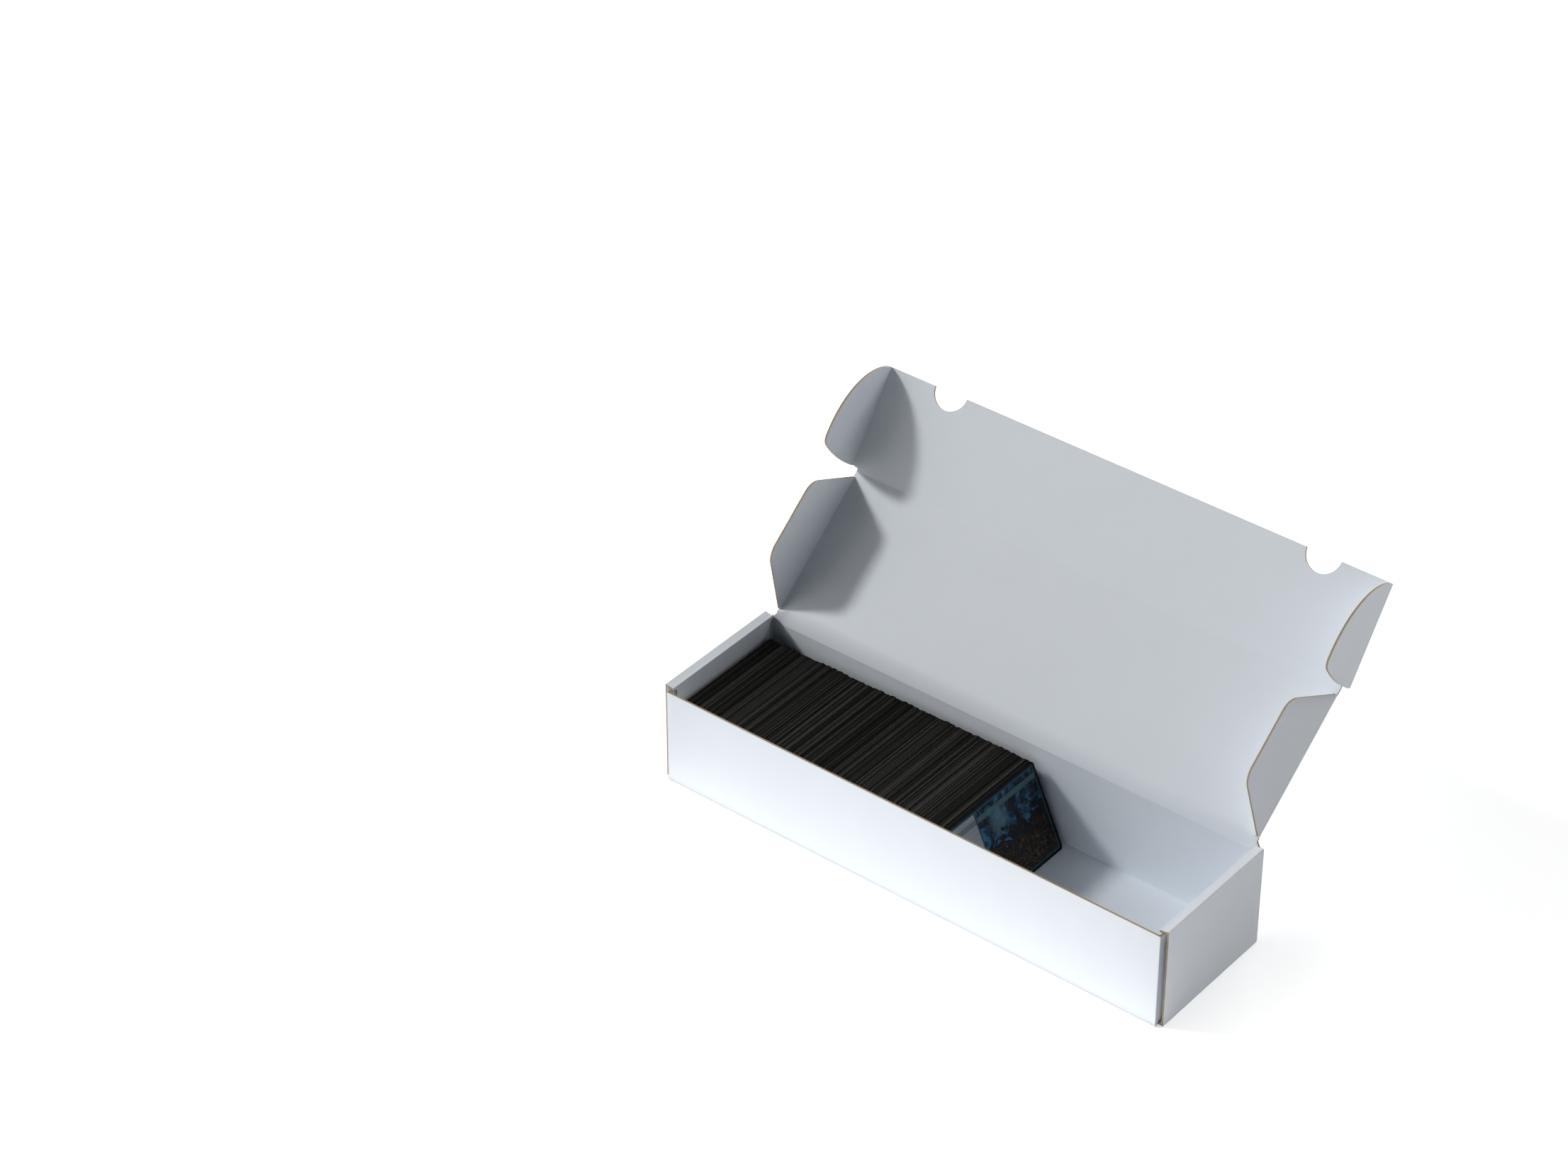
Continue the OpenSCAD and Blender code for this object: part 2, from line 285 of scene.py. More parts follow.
def length_setting(*words, precision=4):
    """A length, in metres."""
    return setting(bpy.props.FloatProperty, *words, unit="LENGTH", precision=precision)


def angle_setting(*words):
    """An angle, in radians."""
    return setting(bpy.props.FloatProperty, *words, unit="ROTATION")


def colour_setting(*words):
    """A colour."""
    return setting(bpy.props.FloatVectorProperty, *words, subtype="COLOR", size=3)


class BoardSettings(bpy.types.PropertyGroup):
    """Sizes and colours of the folded board."""

    lip: length_setting(
        "Cut lip", "Width of the pressed lip along a cut edge of the board", 0.00014, precision=5
    )
    bend_steps: setting(
        bpy.props.IntProperty, "Bend steps", "Number of flat steps in a bend of the board", 9, min=3
    )
    hinge_foot: length_setting(
        "Hinge line height", "Height at which the back wall starts to bend into the lid", 0.0671
    )
    hinge_lean: angle_setting(
        "Hinge lean", "How far the back wall leans at the hinge line", math.radians(18)
    )
    liner_colour: colour_setting(
        "Liner colour", "Colour of the white paper on both faces of the board", (0.835, 0.884, 0.936)
    )
    core_colour: colour_setting(
        "Core colour", "Colour of the brown paper that shows at a cut", (0.50, 0.385, 0.245)
    )


class CardSettings(bpy.types.PropertyGroup):
    """Sizes and colours of the cards."""

    count: setting(bpy.props.IntProperty, "Cards", "Number of cards behind the last one", 588, min=1)
    width: length_setting("Card width", "Long side of a card, which lies across the box", 0.088)
    height: length_setting("Card height", "Short side of a card, which stands in the box", 0.063)
    thickness: length_setting("Card thickness", "Thickness of one card", 0.00032, precision=5)
    corner_radius: length_setting("Corner radius", "Radius of a card's corners", 0.0025)
    lean: angle_setting("Lean", "Angle of the cards back from upright", math.radians(24.5))
    seed: setting(bpy.props.IntProperty, "Seed", "Seed of the cards' small scatter", 7)
    edge_colour: colour_setting(
        "Edge colour", "Colour of the lightest card edges", (0.088, 0.085, 0.079)
    )
    face_colour: colour_setting("Face colour", "Main colour of the printed face", (0.010, 0.045, 0.085))


class StageSettings(bpy.types.PropertyGroup):
    """Floor and lamps."""

    floor_colour: colour_setting("Floor colour", "Colour of the floor and backdrop", (0.86, 0.86, 0.86))
    floor_glow: setting(
        bpy.props.FloatProperty,
        "Floor glow",
        "How much the floor beside the tray is lightened where the camera or a reflection sees it",
        0.50,
        min=0,
    )
    lamp_level: setting(
        bpy.props.FloatProperty, "Lamp level", "Brightness of all lamps together", 1.0, min=0
    )


class CardBoxSettings(bpy.types.PropertyGroup):
    """All settings of the card box."""

    board: bpy.props.PointerProperty(
        name="Board", description="Sizes and colours of the folded board", type=BoardSettings
    )
    cards: bpy.props.PointerProperty(
        name="Cards", description="Sizes and colours of the cards", type=CardSettings
    )
    stage: bpy.props.PointerProperty(name="Stage", description="Floor and lamps", type=StageSettings)


# Places and directions


def lean_direction(lean):
    """Direction in a lid panel that leans back from upright."""
    return Vector((0, math.sin(lean), math.cos(lean)))


def lean_normal(lean):
    """Direction of the inside face of a lid panel that leans back from upright."""
    return Vector((0, -math.cos(lean), math.sin(lean)))


LID_ALONG = lean_direction(LID_LEAN)
LID_IN = lean_normal(LID_LEAN)
PANEL_CREASE = HINGE + LID_ALONG * LID_REACH
PANEL_ALONG = lean_direction(LID_LEAN - PANEL_FOLD)
PANEL_IN = lean_normal(LID_LEAN - PANEL_FOLD)
ALONG_X = Vector((1, 0, 0))


def share_between(value, low, high):
    """How far a value is from low to high, kept from 0 to 1."""
    return min(max((value - low) / (high - low), 0), 1)


def spread(low, high, count):
    """Evenly spaced numbers from low to high."""
    return [low + (high - low) * i / (count - 1) for i in range(count)]


def corner_arc(before, at, after, radius, steps):
    """Points of a rounded corner of an outline."""
    if radius == 0:
        return [at]
    into = (before - at).normalized()
    out = (after - at).normalized()
    half = into.angle(out) / 2
    middle = at + (into + out).normalized() * (radius / math.sin(half))
    start = at + into * (radius / math.tan(half)) - middle
    side = -1 if into.x * out.y - into.y * out.x > 0 else 1
    turn = side * (math.pi - 2 * half)
    points = []
    for step in range(steps + 1):
        angle = turn * step / steps
        c, s = math.cos(angle), math.sin(angle)
        points.append(middle + Vector((start.x * c - start.y * s, start.x * s + start.y * c)))
    return points


def rounded(corners, radii, steps=ARC_STEPS):
    """An outline with each corner rounded by its own radius."""
    points = []
    count = len(corners)
    for i, corner in enumerate(corners):
        before = Vector(corners[i - 1])
        after = Vector(corners[(i + 1) % count])
        points += corner_arc(before, Vector(corner), after, radii[i], steps)
    return points


def fold_distance(angle, size, radius):
    """Distance from the middle of a right-angled fold to its surface, flat up to a small corner arc."""
    ray = Vector((math.cos(angle), math.sin(angle)))
    flat = size - radius
    if size * min(ray.x, ray.y) <= flat * max(ray.x, ray.y):
        return size / max(ray.x, ray.y)
    along = flat * (ray.x + ray.y)
    return along + math.sqrt(along**2 - 2 * flat**2 + radius**2)


def bend(centre, start, end, radius, steps, corner=FOLD_RADIUS):
    """Cross-section stations of a right-angled fold between two angles in degrees, outer point first."""
    outer_size = radius + BOARD
    first = math.atan2(outer_size - corner, outer_size)
    turns = [0.0, first * 0.5]
    for step in range(steps + 1):
        turns.append(first + (math.pi / 2 - 2 * first) * step / steps)
    turns += [math.pi / 2 - first * 0.5, math.pi / 2]
    side = 1 if end > start else -1
    stations = []
    for turn in turns:
        angle = math.radians(start) + side * turn
        ray = Vector((math.cos(angle), math.sin(angle)))
        outer = ray * fold_distance(turn, outer_size, corner)
        inner = ray * fold_distance(turn, radius, radius * 0.5)
        stations.append((Vector(centre) + outer, Vector(centre) + inner))
    return stations


def straight(outer, inner):
    """One station of a flat stretch."""
    return [(Vector(outer), Vector(inner))]


def mirrored(stations):
    """The stations in the opposite order, mirrored about the first coordinate's zero."""
    return [(Vector((-o.x, o.y)), Vector((-i.x, i.y))) for o, i in reversed(stations)]


def lipped(stations, lip):
    """The stations with a pressed lip at the first one."""
    (outer, inner), (next_outer, next_inner) = stations[0], stations[1]
    across = (inner - outer).normalized() * lip
    along = (next_outer - outer).normalized() * lip
    along_inner = (next_inner - inner).normalized() * lip
    first = [(outer + across, inner - across), (outer + along, inner + along_inner)]
    return first + stations[1:]


# Board meshes


def add_object(name, data):
    """Adds an object to the scene."""
    item = bpy.data.objects.new(name, data)
    bpy.context.scene.collection.objects.link(item)
    return item


def finish_mesh(bm, name, materials):
    """Turns a mesh in millimetres into an object in metres."""
    bmesh.ops.recalc_face_normals(bm, faces=bm.faces)
    bm.transform(Matrix.Scale(MM, 4))
    mesh = bpy.data.meshes.new(name)
    bm.to_mesh(mesh)
    bm.free()
    for material in materials:
        mesh.materials.append(material)
    mesh.shade_smooth()
    mesh.set_sharp_from_angle(angle=SHARP_ANGLE)
    return add_object(name, mesh)


class BoardMesh:
    """Collects solids of board, in millimetres, with the white liner as material 0 and the cut core as 1."""

    def __init__(self, settings):
        self.bm = bmesh.new()
        self.uv = self.bm.loops.layers.uv.new("edge")
        self.lip = settings.lip / MM

    def face(self, corners, core=False, start=0.0, end=0.0):
        """Adds a face. A core face runs from start to end along the cut, from outer to inner."""
        face = self.bm.faces.new(corners)
        face.material_index = 1 if core else 0
        if core and len(corners) == 4:
            values = ((start, 0), (end, 0), (end, 1), (start, 1))
            for loop, (u, v) in zip(face.loops, values):
                loop[self.uv].uv = (u * MM, v)

    def ribbon(self, section, spans, place, lips=(True, True), holes=()):
        """A folded strip: section(span) gives its stations, and spans run across them."""
        bm = self.bm
        rows = []
        for number, span in enumerate(spans):
            cut = (lips[0] and number == 0) or (lips[1] and number == len(spans) - 1)
            row = []
            for outer, inner in section(span):
                across = (inner - outer).normalized() * (self.lip if cut else 0)
                pair = (outer + across, inner - across)
                row.append([bm.verts.new(place(point, span)) for point in pair])
            rows.append(row)
        bm.verts.index_update()
        count = len(rows[0])

        def solid(j, i):
            inside = 0 <= j < len(spans) - 1 and 0 <= i < count - 1
            return inside and (j, i) not in holes

        for j in range(len(spans) - 1):
            for i in range(count - 1):
                if not solid(j, i):
                    continue
                corners = (rows[j][i], rows[j][i + 1], rows[j + 1][i + 1], rows[j + 1][i])
                self.face([c[0] for c in corners])
                self.face([c[1] for c in reversed(corners)])
                walls = (
                    ((j - 1, i), 0, 1, i, i + 1),
                    ((j, i + 1), 1, 2, spans[j], spans[j + 1]),
                    ((j + 1, i), 2, 3, i + 1, i),
                    ((j, i - 1), 3, 0, spans[j + 1], spans[j]),
                )
                for neighbour, a, b, start, end in walls:
                    if not solid(*neighbour):
                        first, second = corners[a], corners[b]
                        self.face([first[0], second[0], second[1], first[1]], True, start, end)
        self.close([v for row in rows for pair in row for v in pair])

    def close(self, verts):
        """Joins the points of one solid that lie on each other."""
        bmesh.ops.remove_doubles(self.bm, verts=verts, dist=WELD)

    def plate(self, outline, place, joined=()):
        """A flat panel: place(point, height) gives a point's place, and joined sides have no lip."""
        bm = self.bm
        count = len(outline)
        points = [Vector(p) for p in outline]
        sides = []
        for k in range(count):
            along = (points[(k + 1) % count] - points[k]).normalized()
            sides.append((Vector((-along.y, along.x)), 0 if k in joined else self.lip))
        rim, inset = [], []
        for k in range(count):
            (n1, d1), (n2, d2) = sides[k - 1], sides[k]
            cross = n1.x * n2.y - n1.y * n2.x
            if abs(cross) < WELD:
                shift = (n1 + n2).normalized() * max(d1, d2)
            else:
                shift = Vector((d1 * n2.y - d2 * n1.y, d2 * n1.x - d1 * n2.x)) / cross
            height = HALF - max(d1, d2)
            point = points[k]
            rim.append((bm.verts.new(place(point, -height)), bm.verts.new(place(point, height))))
            point = point + shift
            inset.append((bm.verts.new(place(point, -HALF)), bm.verts.new(place(point, HALF))))
        bm.verts.index_update()
        run = 0.0
        for k in range(count):
            n = (k + 1) % count
            length = (points[n] - points[k]).length
            if k in joined:
                self.face([inset[k][0], inset[n][0], inset[n][1], inset[k][1]], True)
                if (k - 1) % count not in joined:
                    self.face([rim[k][0], inset[k][0], inset[k][1], rim[k][1]], True)
                if n not in joined:
                    self.face([inset[n][0], rim[n][0], rim[n][1], inset[n][1]], True)
            else:
                self.face([rim[k][0], rim[n][0], inset[n][0], inset[k][0]])
                self.face([rim[n][1], rim[k][1], inset[k][1], inset[n][1]])
                self.face([rim[k][0], rim[n][0], rim[n][1], rim[k][1]], True, run, run + length)
            run += length
        self.face([pair[0] for pair in reversed(inset)])
        self.face([pair[1] for pair in inset])
        self.close([v for pair in rim + inset for v in pair])

    def piece(self, name):
        """Finishes the mesh and makes the object."""
        bmesh.ops.dissolve_degenerate(self.bm, edges=self.bm.edges, dist=NOTHING)
        piece = finish_mesh(self.bm, name, board_materials())
        return piece


# Tray


def build_floor_and_walls(settings):
    """The bottom, both long walls and the four corner flaps."""
    board = BoardMesh(settings)
    lip = board.lip
    steps = settings.bend_steps
    foot = settings.hinge_foot / MM

    # Floor with the lower folds of both long walls
    low_y = WALL_Y - CREASE_RADIUS - BOARD
    half = straight((-WALL_Y, WALL_FOOT), (-WALL_Y + BOARD, WALL_FOOT))
    half += bend((-low_y, FOLD_Z), 180, 270, CREASE_RADIUS, steps)
    half += straight((-low_y + SUPPORT, 0), (-low_y + SUPPORT, BOARD))
    stations = half + mirrored(half)
    board.ribbon(lambda x: stations, (-WALL_X, WALL_X), lambda p, x: Vector((x, p.x, p.y)), (False, False))

    # Front wall with its corner flaps
    flap = straight((-FLAP_LAYER_X, -FLAP_FREE_Y), (-FLAP_LAYER_X + BOARD, -FLAP_FREE_Y))
    flap += straight((-FLAP_LAYER_X, -END_Y + SUPPORT), (-FLAP_LAYER_X + BOARD, -END_Y + SUPPORT))
    flap += bend((-WALL_X, -END_Y), 180, 270, CORNER_RADIUS, steps)
    front = lipped(flap, lip) + straight((-WALL_X + SUPPORT, -WALL_Y), (-WALL_X + SUPPORT, -WALL_Y + BOARD))
    front += mirrored(front)
    board.ribbon(
        lambda z: front,
        (WALL_FOOT, WALL_TOP - lip, WALL_TOP),
        lambda p, z: Vector((p.x, p.y, corner_foot(p) if z == WALL_FOOT else z)),
        (False, True),
    )

    # Back wall with its corner flaps, up to the hinge
    back = list(flap)
    for x in hinge_columns(lip):
        if x < 0:
            back += straight((x, -WALL_Y), (x, -WALL_Y + BOARD))
    back += mirrored(back)

    def back_place(point, share):
        top = hinge_foot_at(point.x, foot)
        low = corner_foot(point)
        return Vector((point.x, -point.y, low + (top - low) * share))

    board.ribbon(lambda share: back, (0, 1), back_place, (False, False))
    piece = board.piece("tray_floor_and_walls")
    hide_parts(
        "bottom_panel",
        "front_wall",
        "back_wall",
        "front_left_corner_flap",
        "front_right_corner_flap",
        "back_left_corner_flap",
        "back_right_corner_flap",
    )
    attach(piece, "tray")


def corner_foot(point):
    """Height of the lower edge of a long wall and its corner flaps, which is lower round the corners."""
    turning = abs(point.y) > END_Y + TOUCH and abs(point.x) > WALL_X - TOUCH
    return CORNER_FOOT if turning else WALL_FOOT


def hinge_columns(lip):
    """Places along the hinge where its foot line changes, from left to right."""
    right = [*HINGE_COLUMNS, LID_X - lip, LID_X]
    return [-x for x in reversed(right)] + right


def hinge_foot_at(x, foot):
    """Height of the hinge's foot line, which runs up to the corners at both ends."""
    return foot + (WALL_TOP - foot) * share_between(abs(x), *RISES_X) ** 2


def hinge_end_at(x):
    """Distance along the lid at which the hinge's bend ends, which is nearer at both ends."""
    share = share_between(abs(x), *NARROWS_X)
    return LID_START + HINGE_SPREAD * (1 - share) ** 2 * (1 + 2 * share)


def side_word(side):
    """Name of a side, from -1 or 1."""
    return "left" if side < 0 else "right"


def build_end(settings, side, name):
    """The rolled end of one side: outer wall, strip and inner panel."""
    board = BoardMesh(settings)
    lip = board.lip
    steps = settings.bend_steps
    out_x = END_X - CREASE_RADIUS - BOARD
    in_x = INSIDE_X + CREASE_RADIUS + BOARD
    top = LAYER_TOP + CREASE_RADIUS + BOARD
    stations = []
    for x in (WALL_X, *SLOT_X, out_x - SUPPORT):
        stations += straight((x, 0), (x, BOARD))
    stations += bend((out_x, FOLD_Z), -90, 0, CREASE_RADIUS, steps)
    for z in (WALL_FOOT, LAYER_TOP - SUPPORT):
        stations += straight((END_X, z), (END_X - BOARD, z))
    strip = bend((out_x, LAYER_TOP), 0, 90, CREASE_RADIUS, steps, STRIP_CORNER)
    for x in (out_x - SUPPORT, in_x + SUPPORT):
        strip += straight((x, top), (x, top - BOARD))
    strip += bend((in_x, LAYER_TOP), 90, 180, CREASE_RADIUS, steps)

    # The strip falls a little towards the inside
    strip_width = END_X - INSIDE_X - BOARD
    for pair in strip:
        falls = [STRIP_FALL * min(END_X - point.x, strip_width) for point in pair]
        stations.append(tuple(point - Vector((0, fall)) for point, fall in zip(pair, falls)))
    inner_top = LAYER_TOP - STRIP_FALL * strip_width
    spans = (-END_Y, -END_Y + lip, *SLOT_Y, END_Y - lip, END_Y)
    slots = {(2, 1), (4, 1)}
    board.ribbon(lambda y: stations, spans, lambda p, y: Vector((side * p.x, y, p.y)), holes=slots)

    side_y = END_Y - SHOULDER_IN
    shoulder_z = inner_top - SHOULDER_DOWN
    corners = [(END_Y, inner_top), (-END_Y, inner_top), (-side_y, shoulder_z), (-side_y, PANEL_FOOT)]
    radii = [0, 0, SHOULDER_ROUND, 0]
    for low, high in TABS:
        corners += [(low, PANEL_FOOT), (low, TAB_FOOT), (high, TAB_FOOT), (high, PANEL_FOOT)]
        radii += [0, TAB_ROUND, TAB_ROUND, 0]
    corners += [(side_y, PANEL_FOOT), (side_y, shoulder_z)]
    radii += [0, SHOULDER_ROUND]
    middle_x = INSIDE_X + HALF
    board.plate(
        rounded(corners, radii, INNER_ARC_STEPS),
        lambda p, height: Vector((side * (middle_x - height), p.x, p.y)),
        joined={0},
    )
    piece = board.piece(name)
    prefix = side_word(side)
    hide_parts(prefix + "_end_wall", prefix + "_end_strip", prefix + "_inner_panel")
    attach(piece, "tray")


# Creases between panels that turn


def crease_section(fold, reach, steps):
    """Stations across a crease at the origin, folded towards the second coordinate."""
    along = Vector((math.cos(fold), math.sin(fold)))
    out = Vector((math.sin(fold), -math.cos(fold))) * HALF
    near = HALF * math.tan(fold / 2)
    mitre = Vector((-near, HALF))
    stations = []
    for x in spread(-reach, -near, CREASE_COLUMNS):
        stations += straight((x, -HALF), (x, HALF))
    for step in range(steps + 1):
        angle = -math.pi / 2 + fold * step / steps
        stations.append((Vector((math.cos(angle), math.sin(angle))) * HALF, mitre))
    for distance in spread(near, reach, CREASE_COLUMNS):
        run = along * distance
        stations.append((run + out, run - out))
    return stations


def build_crease(settings, name, fold, spans, place):
    """A crease piece, folded at its crease, that joins two panels. place(across, inwards, span) gives a
    point's place.
    """
    board = BoardMesh(settings)
    lip = board.lip
    stations = crease_section(fold, CREASE_REACH, settings.bend_steps)
    low, high = spans
    spans = (low, low + lip, high - lip, high)
    board.ribbon(lambda span: stations, spans, lambda p, span: place(p.x, p.y, span))
    piece = board.piece(name)
    half = Vector((math.cos(fold / 2), math.sin(fold / 2))) * CREASE_TURN
    start = place(-half.x, -half.y, low) * MM
    end = place(half.x, half.y, low) * MM
    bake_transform(piece)


def on_lid(x, along, inwards):
    """Place of a point on the lid, measured from its hinge."""
    return HINGE + ALONG_X * x + LID_ALONG * along + LID_IN * inwards


def on_panel(x, along, inwards):
    """Place of a point on the tuck panel, measured from the lid's front crease."""
    return PANEL_CREASE + ALONG_X * x + PANEL_ALONG * along + PANEL_IN * inwards


# Lid


def build_hinge(settings):
    """The bend from the back wall into the lid."""
    board = BoardMesh(settings)
    foot = settings.hinge_foot / MM
    lean = settings.hinge_lean

    def section(x):
        end = HINGE + LID_ALONG * hinge_end_at(x)
        start_z = hinge_foot_at(x, foot)
        rise = HINGE.z - start_z
        meet = rise * math.sin(lean) / math.sin(LID_LEAN - lean)
        control = HINGE + LID_ALONG * meet
        start = Vector((0, HINGE.y, start_z))
        stations = [(Vector((WALL_Y, start_z)), Vector((WALL_Y - BOARD, start_z)))]
        for step in range(HINGE_STEPS):
            t = (step + 1) / HINGE_STEPS
            point = start * (1 - t) ** 2 + control * (2 * t * (1 - t)) + end * t**2
            along = ((control - start) * (1 - t) + (end - control) * t).normalized()
            inwards = Vector((-along.z, along.y)) * HALF
            middle = Vector((point.y, point.z))
            stations.append((middle - inwards, middle + inwards))
        return stations

    def place(point, x):
        share = share_between(point.y, HINGE.z, WALL_TOP)
        corner = share_between(abs(x), *WIDENS_X)
        return Vector((x + math.copysign(HINGE_WIDENING * share * corner, x), point.x, point.y))

    board.ribbon(section, hinge_columns(board.lip), place)
    piece = board.piece("lid_hinge_bend")
    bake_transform(piece)


def build_lid_board(settings):
    """The flat of the lid."""
    board = BoardMesh(settings)
    side = FLAP_CREASE_X - CREASE_REACH
    low = FLAP_LOW - FLAP_SLIT
    high = FLAP_HIGH + FLAP_SLIT
    end = LID_REACH - CREASE_REACH
    right = [(LID_X, LID_START), (LID_X, low), (side, low), (side, high), (LID_X, high), (LID_X, end)]
    outline = right + [(-x, d) for x, d in reversed(right)]
    right_flap, front, left_flap, hinge = 2, 5, 8, len(outline) - 1
    outline += [(x, hinge_end_at(x)) for x in hinge_columns(board.lip) if abs(x) <= NARROWS_X[1]]
    joined = {right_flap, front, left_flap, *range(hinge, len(outline))}
    board.plate(outline, lambda p, height: on_lid(p.x, p.y, height), joined=joined)
    piece = board.piece("lid_board")
    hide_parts("lid_panel")
    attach(piece, "lid")


def build_side_flap(settings, side, fold, name):
    """A side flap of the lid and the crease that it turns on."""
    prefix = side_word(side)
    build_crease(
        settings,
        prefix + "_flap_bend",
        fold,
        (FLAP_LOW, FLAP_HIGH),
        lambda across, inwards, span: on_lid(side * (FLAP_CREASE_X + across), span, inwards),
    )
    board = BoardMesh(settings)
    shoulders = [(FLAP_REACH, along) for along in FLAP_SHOULDERS]
    corners = [(CREASE_REACH, FLAP_LOW), *shoulders, (CREASE_REACH, FLAP_END)]
    outline = rounded(corners, [0, FLAP_ROUND, FLAP_ROUND, 0])
    along, out = math.cos(fold), math.sin(fold)

    def place(point, height):
        across = point.x * along - height * out
        inwards = point.x * out + height * along
        return on_lid(side * (FLAP_CREASE_X + across), point.y, inwards)

    board.plate(outline, place, joined={len(outline) - 1})
    piece = board.piece(name)
    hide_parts(prefix + "_side_flap")
    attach(piece, prefix + "_flap")


# Tuck panel


def build_tuck_panel(settings):
    """The tuck panel with its finger notches, and the lid's front crease."""
    build_crease(
        settings,
        "front_bend",
        PANEL_FOLD,
        (-LID_X, LID_X),
        lambda across, inwards, span: on_lid(span, LID_REACH + across, inwards),
    )
    board = BoardMesh(settings)
    side = EAR_CREASE_X - CREASE_REACH
    centre_e = PANEL_REACH + NOTCH_OFFSET
    low = math.asin(NOTCH_OFFSET / NOTCH_RADIUS)
    notch = []
    for angle in spread(-low, low - math.pi, NOTCH_POINTS):
        notch.append((NOTCH_X + NOTCH_RADIUS * math.cos(angle), centre_e + NOTCH_RADIUS * math.sin(angle)))
    right = [(LID_X, CREASE_REACH), (side, EAR_LOW - FLAP_SLIT), (side, PANEL_REACH)] + notch
    outline = right + [(-x, e) for x, e in reversed(right)]
    right_ear, left_ear, foot = 1, len(outline) - 3, len(outline) - 1
    joined = {right_ear, left_ear, foot}
    board.plate(outline, lambda p, height: on_panel(p.x, p.y, height), joined=joined)
    piece = board.piece("tuck_board")
    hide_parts("tuck_panel")
    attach(piece, "tuck")


def ear_outline():
    """Outline of an ear: reach from its crease, and distance along the tuck panel."""

    def swing(reach):
        return EAR_START + EAR_SWING - math.sqrt(EAR_SWING**2 - reach**2)

    reaches = spread(CREASE_REACH, EAR_REACH - EAR_CORNER, EAR_LOWER_POINTS)
    lower = [Vector((reach, swing(reach))) for reach in reaches]
    top = swing(EAR_REACH)
    shoulder = top + EAR_SIDE
    sweep = []
    for angle in spread(0, math.pi / 2, EAR_UPPER_POINTS)[:-1]:
        distance = shoulder + (PANEL_REACH - shoulder) * math.sin(angle)
        sweep.append(Vector((EAR_REACH * math.cos(angle), distance)))
    arc = corner_arc(lower[-1], Vector((EAR_REACH, top)), sweep[0], EAR_CORNER, EAR_ARC_STEPS)
    lower = [p for p in lower if p.x < arc[0].x]
    sweep = [p for p in sweep if p.x > CREASE_REACH]
    return lower + arc + sweep + [Vector((CREASE_REACH, EAR_HIGH))]


def build_ear(settings, side, name):
    """An ear of the tuck panel and the crease that it turns on."""
    prefix = side_word(side)
    build_crease(
        settings,
        prefix + "_ear_bend",
        EAR_FOLD,
        (EAR_LOW, EAR_HIGH),
        lambda across, inwards, span: on_panel(side * (EAR_CREASE_X + across), span, inwards),
    )
    board = BoardMesh(settings)
    outline = ear_outline()
    board.plate(
        outline,
        lambda p, height: on_panel(side * (EAR_CREASE_X - height), p.y, p.x),
        joined={len(outline) - 1},
    )
    piece = board.piece(name)
    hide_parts(prefix + "_ear")
    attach(piece, prefix + "_tuck_ear")


# Node trees


class Nodes:
    """Short calls for building one node tree."""

    def __init__(self, tree):
        self.tree = tree

    def feed(self, value, socket):
        """Links an input to another node's output, or sets its value."""
        if isinstance(value, bpy.types.NodeSocket):
            self.tree.links.new(value, socket)
        elif socket.type == "RGBA" and len(value) == 3:
            socket.default_value = (*value, 1)
        else:
            socket.default_value = value

    def node(self, kind, inputs=(), **options):
        """Adds a node, sets its options, and sets or links its inputs."""
        node = self.tree.nodes.new(kind)
        for name, value in options.items():
            setattr(node, name, value)
        for key, value in dict(inputs).items():
            for item in value if isinstance(value, list) else [value]:
                self.feed(item, node.inputs[key])
        return node

    def out(self, kind, inputs=(), **options):
        """The first output of a new node."""
        return self.node(kind, inputs, **options).outputs[0]

    def math(self, operation, first, second=0.0, third=None):
        """A number from one, two or three others."""
        inputs = {0: first, 1: second}
        if third is not None:
            inputs[2] = third
        return self.out("ShaderNodeMath", inputs, operation=operation)

    def plus(self, first, second):
        """The sum of two numbers."""
        return self.math("ADD", first, second)

    def minus(self, first, second):
        """The difference of two numbers."""
        return self.math("SUBTRACT", first, second)

    def times(self, first, second):
        """The product of two numbers."""
        return self.math("MULTIPLY", first, second)

    def scale_add(self, value, factor, added):
        """A number times a factor, with another one added."""
        return self.math("MULTIPLY_ADD", value, factor, added)

    def distance(self, first, second):
        """How far apart two numbers are."""
        return self.math("ABSOLUTE", self.minus(first, second))

    def vector(self, operation, first, second=(0, 0, 0)):
        """A vector from one or two others."""
        return self.out("ShaderNodeVectorMath", {0: first, 1: second}, operation=operation)

    def length(self, vector):
        """The length of a vector."""
        return self.node("ShaderNodeVectorMath", {0: vector}, operation="LENGTH").outputs["Value"]

    def parts(self, vector):
        """The three numbers of a vector."""
        return self.node("ShaderNodeSeparateXYZ", {"Vector": vector}).outputs

    def noise(self, place, scale, detail, distortion=0.0, roughness=0.5):
        """Noise at a place."""
        inputs = {"Vector": place, "Scale": scale, "Detail": detail}
        inputs.update({"Distortion": distortion, "Roughness": roughness})
        return self.out("ShaderNodeTexNoise", inputs)

    def mix(self, share, first, second, blend="MIX"):
        """A colour between two others."""
        inputs = {0: share, 6: first, 7: second}
        return self.node("ShaderNodeMix", inputs, data_type="RGBA", blend_type=blend).outputs[2]

    def step(self, value, low, high):
        """Runs smoothly from 0 to 1 while the value runs from low to high."""
        inputs = {"Value": value, "From Min": low, "From Max": high}
        return self.out("ShaderNodeMapRange", inputs, interpolation_type="SMOOTHSTEP")


def add_sockets(tree, side, *sockets):
    """Gives a node group its inputs or outputs: for each its name, its kind and for some its value."""
    for name, kind, *value in sockets:
        made = tree.interface.new_socket(name=name, in_out=side, socket_type="NodeSocket" + kind)
        if value:
            made.default_value = value[0]


# Cards


